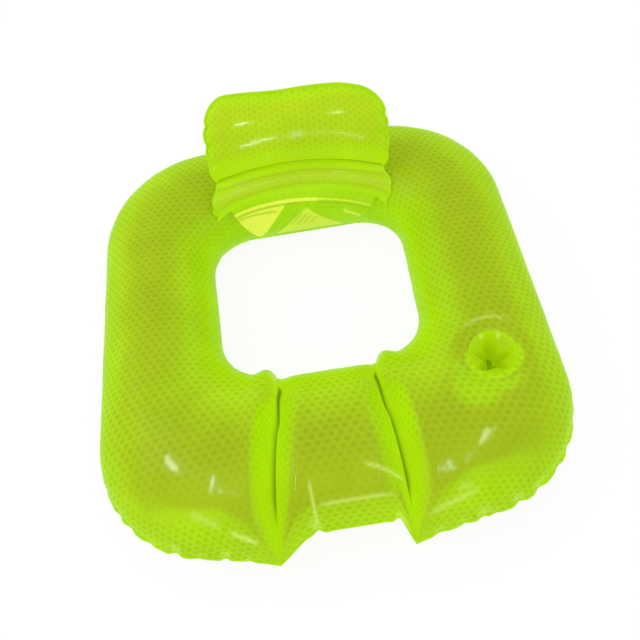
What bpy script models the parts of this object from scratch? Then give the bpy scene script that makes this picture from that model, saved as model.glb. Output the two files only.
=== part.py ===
"""Inflatable pool chair: a rounded square ring with a seat opening, a cup well in one arm, and a
headrest on a flap. Metres, +Z up, front towards -Y. The origin is on the floor, under the middle
of the chair's length and width."""

import math

import bmesh
import bpy
from mathutils import Matrix, Vector
from mathutils.bvhtree import BVHTree

# Film and welds
film = 0.0003
gap = 0.0003
flange_width = 0.005
weld_land_width = 0.006

# Seat opening at its narrowest height, measured from the opening's own centre
opening_half_width = 0.205
opening_front = 0.183
opening_back = 0.195
opening_front_corner = 0.106
opening_back_corner = 0.104

# Widths of the inflated tubes, seen from above
arm_width_front = 0.255
arm_width_back = 0.229
front_width = 0.330
centre_width = 0.311
back_width = 0.200
outer_front_corner = 0.224
outer_back_corner = 0.240

# Heights of the tubes above the seam plane, and of the seam plane above the floor
seam_height = 0.108
back_rise = 0.096
arm_rise = 0.113
lobe_rise = 0.124
centre_rise = 0.100
floor_press = 0.0005
outer_seam_angle = math.radians(4)
inner_seam_angle = math.radians(42)

# The two creases where the top and bottom sheets are welded together across the front
crease_inner_x = 0.113
crease_outer_x = 0.125
tip_reach = 0.030
front_sway = 0.0125
tip_run_outer = 0.150
tip_run_left = 0.074
tip_run_right = 0.024
inner_bump = 0.016
bump_run = 0.028
crease_wall_run = 0.056
passage_run_share = 0.10
passage_height_share = 0.80

# Cup well in the right arm
cup_inward = 0.0185
cup_forward = 0.061
cup_mouth_radius = 0.0465
cup_seat_run = 0.011
cup_shoulder_run = 0.034
cup_dimple = 0.013
cup_depth = 0.092
cup_waist_radius = 0.031
cup_pleat = 0.006
cup_pleat_count = 4
cup_base_radius = 0.035

# Headrest pillow, in its own plane: a roll along its lower edge and a main lobe above a weld
roll_length = 0.058
roll_half_width = 0.183
roll_half_depth = 0.022
neck_half_width = 0.170
lobe_length = 0.152
lobe_half_width = 0.182
lobe_half_depth = 0.046
lobe_foot_round = 0.045
lobe_top_round = 0.055
lobe_top_inset = 0.040
arch_foot = 0.036
arch_waist = 0.024
arch_top = 0.006
bow = 0.022
headrest_lean = math.radians(61)
headrest_skew = math.radians(3.5)
headrest_offset = 0.009
ear_droop = 0.008
ear_run = 0.050
headrest_stand_off = 0.012
headrest_clearance = 0.0040

# Flap that ties the headrest to the opening's back edge
flap_bottom_half_width = 0.098
flap_lift = 0.0014
flap_foot_run = 0.003
leave_angle = math.radians(130)

# Push-in valves
stem_radius = 0.0050
stem_bore_radius = 0.0038
stem_travel = 0.0080
stem_hold = 0.0070
collar_radius = 0.0068
collar_thickness = 0.0014
valve_base_radius = 0.0130
valve_base_thickness = 0.0008
valve_pad_run = 0.022
guide_length = 0.0055
guide_wall = 0.0007
valve_clearance = 0.0003
plug_cap_radius = 0.0060
plug_cap_thickness = 0.0016
plug_spigot_length = 0.0048
plug_spigot_radius = 0.0032
plug_tip_radius = 0.0018
strap_width = 0.0038
strap_thickness = 0.0010
strap_lift = 0.0002
hinge_offset = 0.0100
leaf_radius = 0.0046
leaf_thickness = 0.0005
ring_valve_x = -0.150
ring_valve_angle = math.radians(-38)
headrest_valve_x = -0.105
headrest_valve_rise = 0.085

# Fineness of the sheets
top_rows = 11
bottom_side_rows = 3
centre_columns = 3
lobe_columns = 3
corner_columns = 6
side_columns = 3
back_corner_columns = 6
back_columns = 2
wall_shares = (0.035, 0.15, 0.42, 1.0)
lobe_rows = 6
roll_rows = 4
pillow_columns = 12
flap_inset_columns = 2
flap_rows = 14
cup_turn_steps = 28
cup_rows = 7
valve_turn_steps = 16

cut_overrun = 0.008
merge_distance = 0.00002

LIME = (0.46, 0.72, 0.02, 1.0)
BRIGHT = (0.62, 0.88, 0.05, 1.0)
CLEAR = (0.70, 0.86, 0.30, 1.0)

layer = film + gap / 2


def clamp01(value):
    return min(1.0, max(0.0, value))


def smooth(value):
    t = clamp01(value)
    return t * t * (3 - 2 * t)


def lerp(a, b, t):
    return a + (b - a) * t


def dome(value):
    """Quarter circle: 0 at 0, rising steeply at first, 1 from 1 onwards."""
    return math.sqrt(1 - (1 - clamp01(value)) ** 2)


def turned(centre, radius, angle):
    return centre + radius * Vector((math.cos(angle), math.sin(angle)))


class Outline:
    """Right half of a rounded outline, from its front middle round to its back middle."""

    def __init__(self, front_half, back_half, front, back, front_corner, back_corner):
        front_centre = Vector((front_half - front_corner, -front + front_corner))
        back_centre = Vector((back_half - back_corner, back - back_corner))
        lean = math.atan2(front_half - back_half, (back_centre - front_centre).y)
        self.lengths = (
            front_centre.x,
            front_corner * (math.pi / 2 + lean),
            (turned(back_centre, back_corner, lean) - turned(front_centre, front_corner, lean)).length,
            back_corner * (math.pi / 2 - lean),
            back_centre.x,
        )
        self.places = (
            lambda t: Vector((front_centre.x * t, -front)),
            lambda t: turned(front_centre, front_corner, lerp(-math.pi / 2, lean, t)),
            lambda t: turned(front_centre, front_corner, lean).lerp(
                turned(back_centre, back_corner, lean), t
            ),
            lambda t: turned(back_centre, back_corner, lerp(lean, math.pi / 2, t)),
            lambda t: Vector((back_centre.x * (1 - t), back)),
        )

    def before(self, piece, share=0.0):
        """Length of outline before a share of one of its five pieces."""
        return sum(self.lengths[:piece]) + share * self.lengths[piece]

    def at(self, distance):
        for length, place in zip(self.lengths[:-1], self.places[:-1]):
            if distance <= length:
                return place(distance / length)
            distance -= length
        return self.places[-1](clamp01(distance / self.lengths[-1]))

    def reaching(self, x):
        """Length of outline at which its front reaches x."""
        low, high = 0.0, self.before(1, 1.0)
        for _ in range(40):
            middle = (low + high) / 2
            low, high = (middle, high) if self.at(middle).x < x else (low, middle)
        return low


INNER = Outline(
    opening_half_width,
    opening_half_width,
    opening_front,
    opening_back,
    opening_front_corner,
    opening_back_corner,
)
OUTER = Outline(
    opening_half_width + arm_width_front,
    opening_half_width + arm_width_back,
    opening_front + front_width,
    opening_back + back_width,
    outer_front_corner,
    outer_back_corner,
)
CREASE = (INNER.reaching(crease_inner_x), OUTER.reaching(crease_outer_x))

# The ring is drawn round the opening's centre, and moved so that the origin halves its length.
front_tip = opening_front + front_width + tip_reach + flange_width
back_edge = opening_back + back_width + flange_width
shift_y = (front_tip - back_edge) / 2


def station_table():
    """Places of the ring's cross-sections on one half: lengths along the inner and the outer
    outline, distance from the crease (negative towards the middle), and the tube's height."""
    corner = (INNER.before(1, 0.55), OUTER.before(1, 0.5))
    side_front = (INNER.before(2), OUTER.before(2))
    side_back = (INNER.before(3), OUTER.before(3))
    back_corner = (INNER.before(4), OUTER.before(4))
    back_middle = (INNER.before(4, 1.0), OUTER.before(4, 1.0))
    land = weld_land_width / 2
    stations = []

    def add(start, end, t, distance, rise):
        stations.append((lerp(start[0], end[0], t), lerp(start[1], end[1], t), distance, rise))

    weld_edge = CREASE[0] - land
    wall_start = weld_edge - crease_wall_run
    for i in range(centre_columns):
        place = wall_start * i / centre_columns
        add((0, 0), CREASE, place / CREASE[0], place - weld_edge, centre_rise)
    for share in reversed(wall_shares):
        away = share * crease_wall_run
        add((0, 0), CREASE, (weld_edge - away) / CREASE[0], -away, centre_rise)
    add((0, 0), CREASE, weld_edge / CREASE[0], 0.0, centre_rise)
    lobe_run = corner[1] - CREASE[1]
    add(CREASE, corner, land / lobe_run, 0.0, lobe_rise)
    for share in wall_shares:
        away = share * crease_wall_run
        add(CREASE, corner, (land + away) / lobe_run, away, lobe_rise)
    wall_end = (land + crease_wall_run) / lobe_run
    for i in range(1, lobe_columns + 1):
        add(CREASE, corner, lerp(wall_end, 1.0, i / lobe_columns), crease_wall_run, lobe_rise)
    spans = (
        (corner, side_front, corner_columns, lobe_rise, arm_rise),
        (side_front, side_back, side_columns, arm_rise, arm_rise),
        (side_back, back_corner, back_corner_columns, arm_rise, back_rise),
        (back_corner, back_middle, back_columns, back_rise, back_rise),
    )
    for start, end, count, rise_a, rise_b in spans:
        for i in range(1, count + 1):
            t = i / count
            add(start, end, t, crease_wall_run, lerp(rise_a, rise_b, smooth(t)))
    return stations


STATIONS = station_table()
HALF = len(STATIONS) - 1


def tube_at(place, side):
    """Innermost and outermost points of the tube at a place along the stations, with its distance
    from the crease and its height. The side is +1 right or -1 left."""
    i = min(int(place), HALF - 1)
    inner_at, outer_at, distance, rise = (
        lerp(a, b, place - i) for a, b in zip(STATIONS[i], STATIONS[i + 1])
    )
    inner = INNER.at(inner_at)
    outer = OUTER.at(outer_at)
    away = abs(outer_at - CREASE[1])
    run = tip_run_outer
    if distance < 0:
        run = tip_run_left if side < 0 else tip_run_right
        outer.y += (front_width - centre_width) * smooth(away / run)
    outer.y -= tip_reach * (1 - clamp01(away / run)) ** 1.5
    outer.x -= side * front_sway * (1 - smooth((outer_at - CREASE[1]) / tip_run_outer))
    inner.y += inner_bump * (1 - smooth(abs(inner_at - CREASE[0]) / bump_run))
    return inner, outer, distance, rise


def ring_point(place, side, angle):
    """Point of the ring's skin. The angle runs from 0 at the outermost point, over the top, to a
    half turn at the innermost, and is negative underneath."""
    inner, outer, distance, rise = tube_at(place, side)
    reach = (outer - inner).length / 2
    depth = seam_height + floor_press
    across = reach * math.cos(angle)
    z = (rise if math.sin(angle) > 0 else depth) * math.sin(angle)
    seam_share = (math.cos(outer_seam_angle) - math.cos(angle)) / (
        math.cos(outer_seam_angle) + math.cos(inner_seam_angle)
    )
    weld_z = -depth * lerp(math.sin(outer_seam_angle), math.sin(inner_seam_angle), seam_share)
    fill = dome(abs(distance) / crease_wall_run)
    passage = smooth((seam_share - 1) / passage_run_share + 2)
    fill += (1 - fill) * passage * passage_height_share
    above = 1 if -outer_seam_angle <= angle <= math.pi + inner_seam_angle else -1
    z = weld_z + (z - weld_z) * fill + above * layer * (1 - fill)
    plan = (inner + outer) / 2 + (outer - inner).normalized() * across
    return Vector((side * plan.x, plan.y + shift_y, max(seam_height + z, 0.0)))


def flange_direction(place, side, seam):
    inner, outer, distance, rise = tube_at(place, side)
    outward = (outer - inner).normalized() * math.cos(seam)
    return Vector((side * outward.x, outward.y, math.sin(seam)))


def ring_normal(place, side, angle):
    """Direction out of the ring's skin."""
    step = math.radians(1)
    point = ring_point(place, side, angle)
    if place + step > HALF:
        along = Vector((1, 0, 0))
    else:
        along = ring_point(place + step, side, angle) - point
    normal = along.cross(ring_point(place, side, angle + step) - point).normalized()
    middle = ring_point(place, side, 0).lerp(ring_point(place, side, math.pi), 0.5)
    return normal if normal.dot(point - middle) > 0 else -normal


def pressed(point, pad):
    """Point of a skin after it is flattened to a pad's plane, easing off round the pad."""
    centre, normal, radius, run = pad
    away = point - centre
    height = away.dot(normal)
    if abs(height) > radius + run:
        return point
    flat = (away - normal * height).length
    return point - normal * height * (1 - smooth((flat - radius) / run))


def grid(columns, rows):
    """Flat grid whose corners lie at whole column and row numbers."""
    bm = bmesh.new()
    bmesh.ops.create_grid(bm, x_segments=columns, y_segments=rows, size=1.0)
    for vertex in bm.verts:
        vertex.co.x = round((vertex.co.x + 1) / 2 * columns)
        vertex.co.y = round((vertex.co.y + 1) / 2 * rows)
    return bm


def refine(bm, place_of, centre, radii):
    """Halve the cells that lie within each radius of the centre, widest radius first."""
    for radius in radii:
        near = [
            edge
            for edge in bm.edges
            if (place_of((edge.verts[0].co + edge.verts[1].co) / 2) - centre).length < radius
        ]
        bmesh.ops.subdivide_edges(bm, edges=near, cuts=1, use_grid_fill=True)


def settle(bm, place_of, pads=()):
    """Move a flat grid to its place, press its pads flat, and close its seam."""
    for vertex in bm.verts:
        point = place_of(vertex.co)
        for pad in pads:
            point = pressed(point, pad)
        vertex.co = point
    bmesh.ops.remove_doubles(bm, verts=bm.verts, dist=merge_distance)
    return bm


def material(name, colour, roughness):
    made = bpy.data.materials.new(name)
    made.use_nodes = True
    shader = made.node_tree.nodes["Principled BSDF"]
    shader.inputs["Base Color"].default_value = colour
    shader.inputs["Roughness"].default_value = roughness
    shader.inputs["Metallic"].default_value = 0.0
    return made


def new_object(name, bm, collection, finish, parent=None):
    mesh = bpy.data.meshes.new(name)
    bm.to_mesh(mesh)
    bm.free()
    made = bpy.data.objects.new(name, mesh)
    collection.objects.link(made)
    if finish:
        mesh.materials.append(finish)
    made.parent = parent
    mesh.shade_smooth()
    mesh.set_sharp_from_angle(angle=math.radians(40))
    return made


def new_sheet(name, bm, collection, finish, outside):
    """Film of even thickness, laid inside a skin whose outer side faces the outside point."""
    bmesh.ops.recalc_face_normals(bm, faces=bm.faces)
    nearest = min(bm.faces, key=lambda face: (face.calc_center_median() - outside).length)
    if nearest.normal.dot(outside - nearest.calc_center_median()) < 0:
        bmesh.ops.reverse_faces(bm, faces=bm.faces)
    made = new_object(name, bm, collection, finish)
    solid = made.modifiers.new("film", "SOLIDIFY")
    solid.thickness = film
    solid.offset = -1
    return made


def cut_round(target, centre, normal, radius, reach, cutters):
    """Cut a round hole through a sheet, along a normal at a centre."""
    bm = bmesh.new()
    bmesh.ops.create_cone(
        bm,
        cap_ends=True,
        segments=cup_turn_steps,
        radius1=radius,
        radius2=radius,
        depth=2 * reach,
        matrix=Matrix.Translation(centre) @ normal.to_track_quat("Z", "Y").to_matrix().to_4x4(),
    )
    cutter = new_object(target.name + "_cutter", bm, cutters, None)
    cutter.hide_render = True
    cutter.display_type = "WIRE"
    cut = target.modifiers.new("hole", "BOOLEAN")
    cut.object = cutter
    cut.operation = "DIFFERENCE"
    cut.solver = "EXACT"


def lathe(profile, steps):
    """Solid turned about Z from a closed profile of (radius, height) points."""
    bm = bmesh.new()
    points = [bm.verts.new((radius, 0.0, height)) for radius, height in profile]
    edges = [bm.edges.new(pair) for pair in zip(points, points[1:] + points[:1])]
    bmesh.ops.spin(
        bm,
        geom=points + edges,
        cent=(0, 0, 0),
        axis=(0, 0, 1),
        angle=2 * math.pi,
        steps=steps,
        use_merge=True,
    )
    bmesh.ops.remove_doubles(bm, verts=bm.verts, dist=merge_distance)
    bmesh.ops.recalc_face_normals(bm, faces=bm.faces)
    return bm


def union_box(target, low, high, cutters):
    """Join a box, given by two corners in the target's own frame, to the target."""
    bm = bmesh.new()
    bmesh.ops.create_cube(bm, size=1.0)
    low, high = Vector(low), Vector(high)
    for vertex in bm.verts:
        vertex.co = (low + high) / 2 + Vector(a * b for a, b in zip(vertex.co, high - low))
    tool = new_object(target.name + "_tab", bm, cutters, None, target.parent)
    tool.matrix_basis = target.matrix_basis
    tool.hide_render = True
    tool.display_type = "WIRE"
    join = target.modifiers.new("tab", "BOOLEAN")
    join.object = tool
    join.operation = "UNION"
    join.solver = "EXACT"


# Ring


def top_angle(row):
    share = clamp01((row - 1) / top_rows)
    inset = layer / (arm_width_front / 2) * (1 - 2 * share)
    return lerp(-outer_seam_angle, math.pi + inner_seam_angle, share) + inset


def bottom_angles():
    contact = math.acos(seam_height / (seam_height + floor_press))
    inset = layer / (arm_width_front / 2)
    spans = (
        (-outer_seam_angle - inset, -math.pi / 2 + contact),
        (-math.pi / 2 - contact, -math.pi + inner_seam_angle + inset),
    )
    return [
        lerp(start, end, i / bottom_side_rows)
        for start, end in spans
        for i in range(bottom_side_rows + 1)
    ]


BOTTOM_ANGLES = bottom_angles()
bottom_rows = len(BOTTOM_ANGLES) - 1


def bottom_angle(row):
    place = min(max(row - 1, 0.0), bottom_rows)
    i = min(int(place), bottom_rows - 1)
    return lerp(BOTTOM_ANGLES[i], BOTTOM_ANGLES[i + 1], place - i)


def ring_place(co, angle_of, rows):
    """Where a corner of a ring sheet's grid lies. The first and last rows are weld flanges."""
    side = -1 if co.x < HALF else 1
    place = abs(co.x - HALF)
    point = ring_point(place, side, angle_of(co.y))
    beyond = max(1 - co.y, co.y - 1 - rows, 0.0)
    seam = -outer_seam_angle if co.y < 1 else math.pi + inner_seam_angle
    return point + flange_direction(place, side, seam) * flange_width * beyond


def top_place(co):
    return ring_place(co, top_angle, top_rows)


def bottom_place(co):
    return ring_place(co, bottom_angle, bottom_rows)


def place_reaching(x, angle):
    """Place along the back stations at which the ring's skin reaches a distance x to one side."""
    low, high = HALF / 2, float(HALF)
    for _ in range(40):
        middle = (low + high) / 2
        low, high = (middle, high) if ring_point(middle, 1, angle).x > abs(x) else (low, middle)
    return low


def highest_near(x, y):
    """Height of the ring's top skin above a point of the right arm, by walking its grid."""
    best = None
    for column in range(8 * HALF + 1):
        for step in range(37):
            point = ring_point(column / 8, 1, math.radians(5 * step))
            away = math.hypot(point.x - x, point.y - y)
            if best is None or away < best[0]:
                best = (away, point.z)
    return best[1]


cup_x = opening_half_width + arm_width_front / 2 - cup_inward
cup_y = shift_y - opening_front - cup_forward
cup_centre = Vector((cup_x, cup_y, highest_near(cup_x, cup_y) - cup_dimple))
CUP_PAD = (cup_centre, Vector((0, 0, 1)), cup_mouth_radius + cup_seat_run, cup_shoulder_run)


def valve_pad(centre, normal):
    return (centre, normal, valve_base_radius + gap, valve_pad_run)


def ring_valve_pad():
    place = place_reaching(ring_valve_x, ring_valve_angle)
    side = math.copysign(1, ring_valve_x)
    return valve_pad(
        ring_point(place, side, ring_valve_angle), ring_normal(place, side, ring_valve_angle)
    )


RING_PAD = ring_valve_pad()


def fine_radii(pad, spread=2.0):
    """Radii within which the cells round a pad are halved, the last just past its flat."""
    centre, normal, radius, run = pad
    return [radius + run * spread * share for share in (1, 0.5, 0.15)]


def build_ring(collection, cutters, finish):
    bm = grid(2 * HALF, top_rows + 2)
    refine(bm, top_place, cup_centre, fine_radii(CUP_PAD, 1.0))
    settle(bm, top_place, (CUP_PAD,))
    arm_x = opening_half_width + arm_width_front / 2
    above = Vector((arm_x, shift_y, seam_height + 2 * arm_rise))
    below = Vector((arm_x, shift_y, -seam_height))
    top = new_sheet("ring_top_sheet", bm, collection, finish, above)
    cut_round(top, cup_centre, CUP_PAD[1], cup_mouth_radius, cut_overrun, cutters)
    bm = grid(2 * HALF, bottom_rows + 2)
    refine(bm, bottom_place, RING_PAD[0], fine_radii(RING_PAD))
    settle(bm, bottom_place, (RING_PAD,))
    bottom = new_sheet("ring_bottom_sheet", bm, collection, finish, below)
    hole = stem_radius + valve_clearance + guide_wall + valve_clearance
    cut_round(bottom, RING_PAD[0], RING_PAD[1], hole, cut_overrun, cutters)
    return top


# Cup well


def sleeve_radius(depth_share, turn):
    """The empty sleeve is squeezed in at its middle, into pleats."""
    squeeze = math.sin(math.pi * clamp01(depth_share)) ** 0.8
    end = lerp(cup_mouth_radius, cup_base_radius, depth_share)
    mean = lerp(end, cup_waist_radius, squeeze)
    return mean + cup_pleat * squeeze * math.cos(cup_pleat_count * turn)


def build_cup_well(collection, finish):
    """Sleeve with a welding flange under the ring's top sheet, and the disc that closes it."""
    level = cup_centre.z - film - gap
    base_level = level - cup_depth
    flange = cup_seat_run - 2 * gap

    def place(co):
        turn = 2 * math.pi * co.x / cup_turn_steps
        if co.y < 1:
            radius, height = cup_mouth_radius + flange * (1 - co.y), level
        elif co.y > cup_rows + 1:
            radius = cup_base_radius - flange_width * (co.y - cup_rows - 1)
            height = base_level
        else:
            share = (co.y - 1) / cup_rows
            radius, height = sleeve_radius(share, turn), lerp(level, base_level, share)
        return Vector((math.cos(turn) * radius, math.sin(turn) * radius, height)) + Vector(
            (cup_centre.x, cup_centre.y, 0)
        )

    bm = settle(grid(cup_turn_steps, cup_rows + 2), place)
    new_sheet("cup_well_sleeve", bm, collection, finish, cup_centre + CUP_PAD[1] * cup_depth)
    bm = bmesh.new()
    bmesh.ops.create_cone(
        bm,
        cap_ends=True,
        segments=cup_turn_steps,
        radius1=cup_base_radius,
        radius2=cup_base_radius,
        depth=film,
        matrix=Matrix.Translation((cup_centre.x, cup_centre.y, base_level - film - gap - film / 2)),
    )
    new_object("cup_well_base", bm, collection, finish)


# Headrest

lean_up = Vector((0, math.cos(headrest_lean), math.sin(headrest_lean)))
lean_front = Vector((0, -lean_up.z, lean_up.y))
beam_exit = ring_point(HALF, 1, leave_angle)
headrest_foot = beam_exit + ring_normal(HALF, 1, leave_angle) * headrest_stand_off
headrest_foot.x += headrest_offset
waist = roll_length + weld_land_width
pillow_top = waist + lobe_length


def pillow_half_width(rise):
    if rise < waist:
        return lerp(roll_half_width, neck_half_width, smooth(rise / roll_length))
    foot = dome((rise - waist) / lobe_foot_round)
    head = 1 - dome((pillow_top - rise) / lobe_top_round)
    return lerp(neck_half_width, lobe_half_width, foot) - lobe_top_inset * head


def pillow_depth(across_share, rise):
    """Half the pillow's thickness, as an inflated roll and lobe with a weld between them."""
    if rise < roll_length:
        share, deepest = rise / roll_length, roll_half_depth
    else:
        share, deepest = (rise - waist) / lobe_length, lobe_half_depth
    round_up = math.sqrt(max(0.0, 1 - abs(2 * clamp01(share) - 1) ** 2.4))
    round_across = math.sqrt(max(0.0, 1 - abs(across_share) ** 3.2))
    return deepest * round_up * round_across


def pillow_point(x, rise, forward):
    """Point in the pillow's bowed, arched and tilted plane, to the right, up and forward."""
    share = clamp01(rise / pillow_top)
    waist_share = waist / pillow_top
    if share < waist_share:
        arch = lerp(arch_foot, arch_waist, share / waist_share)
    else:
        arch = lerp(arch_waist, arch_top, (share - waist_share) / (1 - waist_share))
    bend = (x / lobe_half_width) ** 2
    ear = smooth((abs(x) - roll_half_width + ear_run) / ear_run) ** 2
    rise -= arch * bend + ear_droop * ear * (1 - smooth(rise / roll_length))
    forward += bow * bend
    right = x * math.cos(headrest_skew) + rise * math.sin(headrest_skew)
    up = rise * math.cos(headrest_skew) - x * math.sin(headrest_skew)
    return headrest_foot + Vector((right, 0, 0)) + lean_up * up + lean_front * forward


PILLOW_RISES = (
    [-flange_width]
    + [roll_length * (1 - math.cos(math.pi * i / roll_rows)) / 2 for i in range(roll_rows + 1)]
    + [waist + lobe_length * (1 - math.cos(math.pi * i / lobe_rows)) / 2 for i in range(lobe_rows + 1)]
    + [pillow_top + flange_width]
)


def column_across(column):
    """Share of the pillow's half width at one of its columns, closer together near its sides."""
    return math.sin(math.pi * (min(max(column / pillow_columns, 0.0), 1.0) - 0.5))


def pillow_place(co, face):
    """Where a corner of a pillow sheet's grid lies, on the front (+1) or the back (-1)."""
    i = min(int(co.y), len(PILLOW_RISES) - 2)
    rise = lerp(PILLOW_RISES[i], PILLOW_RISES[i + 1], co.y - i)
    across = column_across(co.x - 1)
    beyond = max(1 - co.x, co.x - 1 - pillow_columns, 0.0)
    half = pillow_half_width(min(max(rise, 0.0), pillow_top))
    x = across * half + math.copysign(flange_width * beyond, across)
    depth = pillow_depth(across, rise) if 0 <= rise <= pillow_top and not beyond else 0.0
    return pillow_point(x, rise, face * (layer + depth))


def headrest_valve_pad():
    rise = waist + headrest_valve_rise
    step = film
    across = headrest_valve_x / pillow_half_width(rise)

    def back(x, up):
        return pillow_point(x, up, -layer - pillow_depth(x / pillow_half_width(up), up))

    along = back(headrest_valve_x + step, rise) - back(headrest_valve_x - step, rise)
    upward = back(headrest_valve_x, rise + step) - back(headrest_valve_x, rise - step)
    centre = pillow_point(headrest_valve_x, rise, -layer - pillow_depth(across, rise))
    return valve_pad(centre, upward.cross(along).normalized())


HEADREST_PAD = headrest_valve_pad()


def skin_tree(sheet):
    """Search tree of a sheet's outer skin."""
    bm = bmesh.new()
    bm.from_mesh(sheet.data)
    tree = BVHTree.FromBMesh(bm)
    bm.free()
    return tree


def kept_off(point, tree, clearance):
    """Point moved out of a skin until it clears it."""
    hit, normal, index, distance = tree.find_nearest(point)
    if (point - hit).dot(normal) < clearance:
        return hit + normal * clearance
    return point


def pillow_shift(middle, ring_skin):
    """How far a point of the pillow's middle plane is pushed forward by the ring behind it."""
    return kept_off(middle, ring_skin, headrest_clearance + 2 * layer) - middle


def build_pillow(collection, cutters, finish, ring_skin):
    for name, face, pads in (
        ("headrest_front_sheet", 1, ()),
        ("headrest_back_sheet", -1, (HEADREST_PAD,)),
    ):

        def place(co):
            point = pillow_place(co, face) + pillow_shift(pillow_place(co, 0), ring_skin)
            return point if face > 0 else kept_off(point, ring_skin, headrest_clearance)

        bm = grid(pillow_columns + 2, len(PILLOW_RISES) - 1)
        for pad in pads:
            refine(bm, place, pad[0], fine_radii(pad))
        settle(bm, place, pads)
        outside = pillow_point(0, pillow_top / 2, face * 2 * lobe_half_depth)
        sheet = new_sheet(name, bm, collection, finish, outside)
    hole = stem_radius + valve_clearance + guide_wall + valve_clearance
    cut_round(sheet, HEADREST_PAD[0], HEADREST_PAD[1], hole, cut_overrun, cutters)


seam_root = ring_point(HALF, 1, math.pi + inner_seam_angle)
seam_out = flange_direction(HALF, 1, math.pi + inner_seam_angle)
seam_up = Vector((0, -seam_out.z, seam_out.y)) * -1
flap_foot = seam_root + seam_out * flap_foot_run + seam_up * (layer + gap + film)


def nearest_angle(point):
    """Angle at which the ring's skin passes closest to a point, and how close."""
    side = math.copysign(1, point.x)

    def away(angle):
        return (ring_point(place_reaching(point.x, angle), side, angle) - point).length

    closest = min((leave_angle + math.radians(step) for step in range(-30, 60, 2)), key=away)
    return closest, away(closest)


def build_flap(collection, finish, ring_skin):
    """Single film from the weld under the opening's back edge up to the foot of the pillow."""
    behind = -(gap / 2 + film + gap)
    columns = pillow_columns - 2 * flap_inset_columns
    side_share = column_across(pillow_columns - flap_inset_columns)
    lines = {}
    for column in range(columns + 1):
        across = column_across(column + flap_inset_columns)
        foot_x = headrest_offset + across / side_share * flap_bottom_half_width
        foot = Vector((foot_x, flap_foot.y, flap_foot.z))
        tops = []
        for rise in (-flange_width, 0):
            top_x = across * roll_half_width
            shift = pillow_shift(pillow_point(top_x, rise, 0), ring_skin)
            tops.append(pillow_point(top_x, rise, behind) + shift)
        last_angle, last_lift = nearest_angle(tops[0])
        line = [foot]
        for row in range(1, flap_rows - 1):
            share = row / (flap_rows - 1)
            angle = lerp(math.pi + inner_seam_angle, last_angle, share)
            x = lerp(foot.x, tops[0].x, share)
            side = math.copysign(1, x)
            place = place_reaching(x, angle)
            lift = lerp(flap_lift, last_lift, share**4)
            line.append(ring_point(place, side, angle) + ring_normal(place, side, angle) * lift)
        lines[column] = line + tops
    bm = settle(grid(columns, flap_rows), lambda co: lines[round(co.x)][round(co.y)])
    new_sheet("headrest_flap", bm, collection, finish, headrest_foot + lean_front)


# Valves

plug_level = valve_base_thickness + gap + valve_clearance + collar_thickness
hinge_level = plug_level + valve_clearance + strap_lift + strap_thickness / 2


def build_valve(prefix, pad, collection, cutters, finish):
    """Base with a guide, sliding stem, plug on a strap, and the leaf that closes the stem."""
    centre, normal, radius, run = pad
    seat = bpy.data.objects.new(prefix + "_axis", None)
    collection.objects.link(seat)
    across = Vector((1, 0, 0))
    across = (across - normal * across.dot(normal)).normalized()
    frame = Matrix((across, normal.cross(across), normal)).transposed().to_4x4()
    seat.matrix_world = Matrix.Translation(centre) @ frame
    guide = stem_radius + valve_clearance
    base_top = gap + valve_base_thickness
    profile = (
        (guide, base_top),
        (valve_base_radius, base_top),
        (valve_base_radius, gap),
        (guide + guide_wall, gap),
        (guide + guide_wall, -guide_length),
        (guide, -guide_length),
    )
    new_object(prefix + "_base", lathe(profile, valve_turn_steps), collection, finish, seat)
    collar_low = base_top + valve_clearance
    stem_end = plug_level - stem_hold - stem_travel
    profile = (
        (stem_bore_radius, plug_level),
        (collar_radius, plug_level),
        (collar_radius, collar_low),
        (stem_radius, collar_low),
        (stem_radius, stem_end),
        (stem_bore_radius, stem_end),
    )
    stem = new_object(prefix + "_stem", lathe(profile, valve_turn_steps), collection, finish, seat)
    lug_start = (stem_radius + collar_radius) / 2
    union_box(
        stem,
        (-hinge_offset - strap_thickness / 2, -strap_width / 2, collar_low + strap_lift),
        (-lug_start, strap_width / 2, plug_level - strap_lift),
        cutters,
    )
    cap_low = plug_level + valve_clearance - hinge_level
    profile = (
        (0.0, cap_low + plug_cap_thickness),
        (plug_cap_radius, cap_low + plug_cap_thickness),
        (plug_cap_radius, cap_low),
        (plug_spigot_radius, cap_low),
        (plug_tip_radius, cap_low - plug_spigot_length),
        (0.0, cap_low - plug_spigot_length),
    )
    bm = lathe(profile, valve_turn_steps)
    bmesh.ops.translate(bm, verts=bm.verts, vec=(hinge_offset, 0, 0))
    plug = new_object(prefix + "_plug", bm, collection, finish, seat)
    plug.location = (-hinge_offset, 0, hinge_level)
    strap_end = hinge_offset - plug_cap_radius + strap_thickness
    half = strap_thickness / 2
    union_box(plug, (-half, -strap_width / 2, -half), (strap_end, strap_width / 2, half), cutters)
    bm = bmesh.new()
    bmesh.ops.create_cone(
        bm,
        cap_ends=True,
        segments=valve_turn_steps,
        radius1=leaf_radius,
        radius2=leaf_radius,
        depth=leaf_thickness,
        matrix=Matrix.Translation((0, 0, stem_end - gap - leaf_thickness / 2)),
    )
    new_object(prefix + "_leaf", bm, collection, finish, seat)


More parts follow.
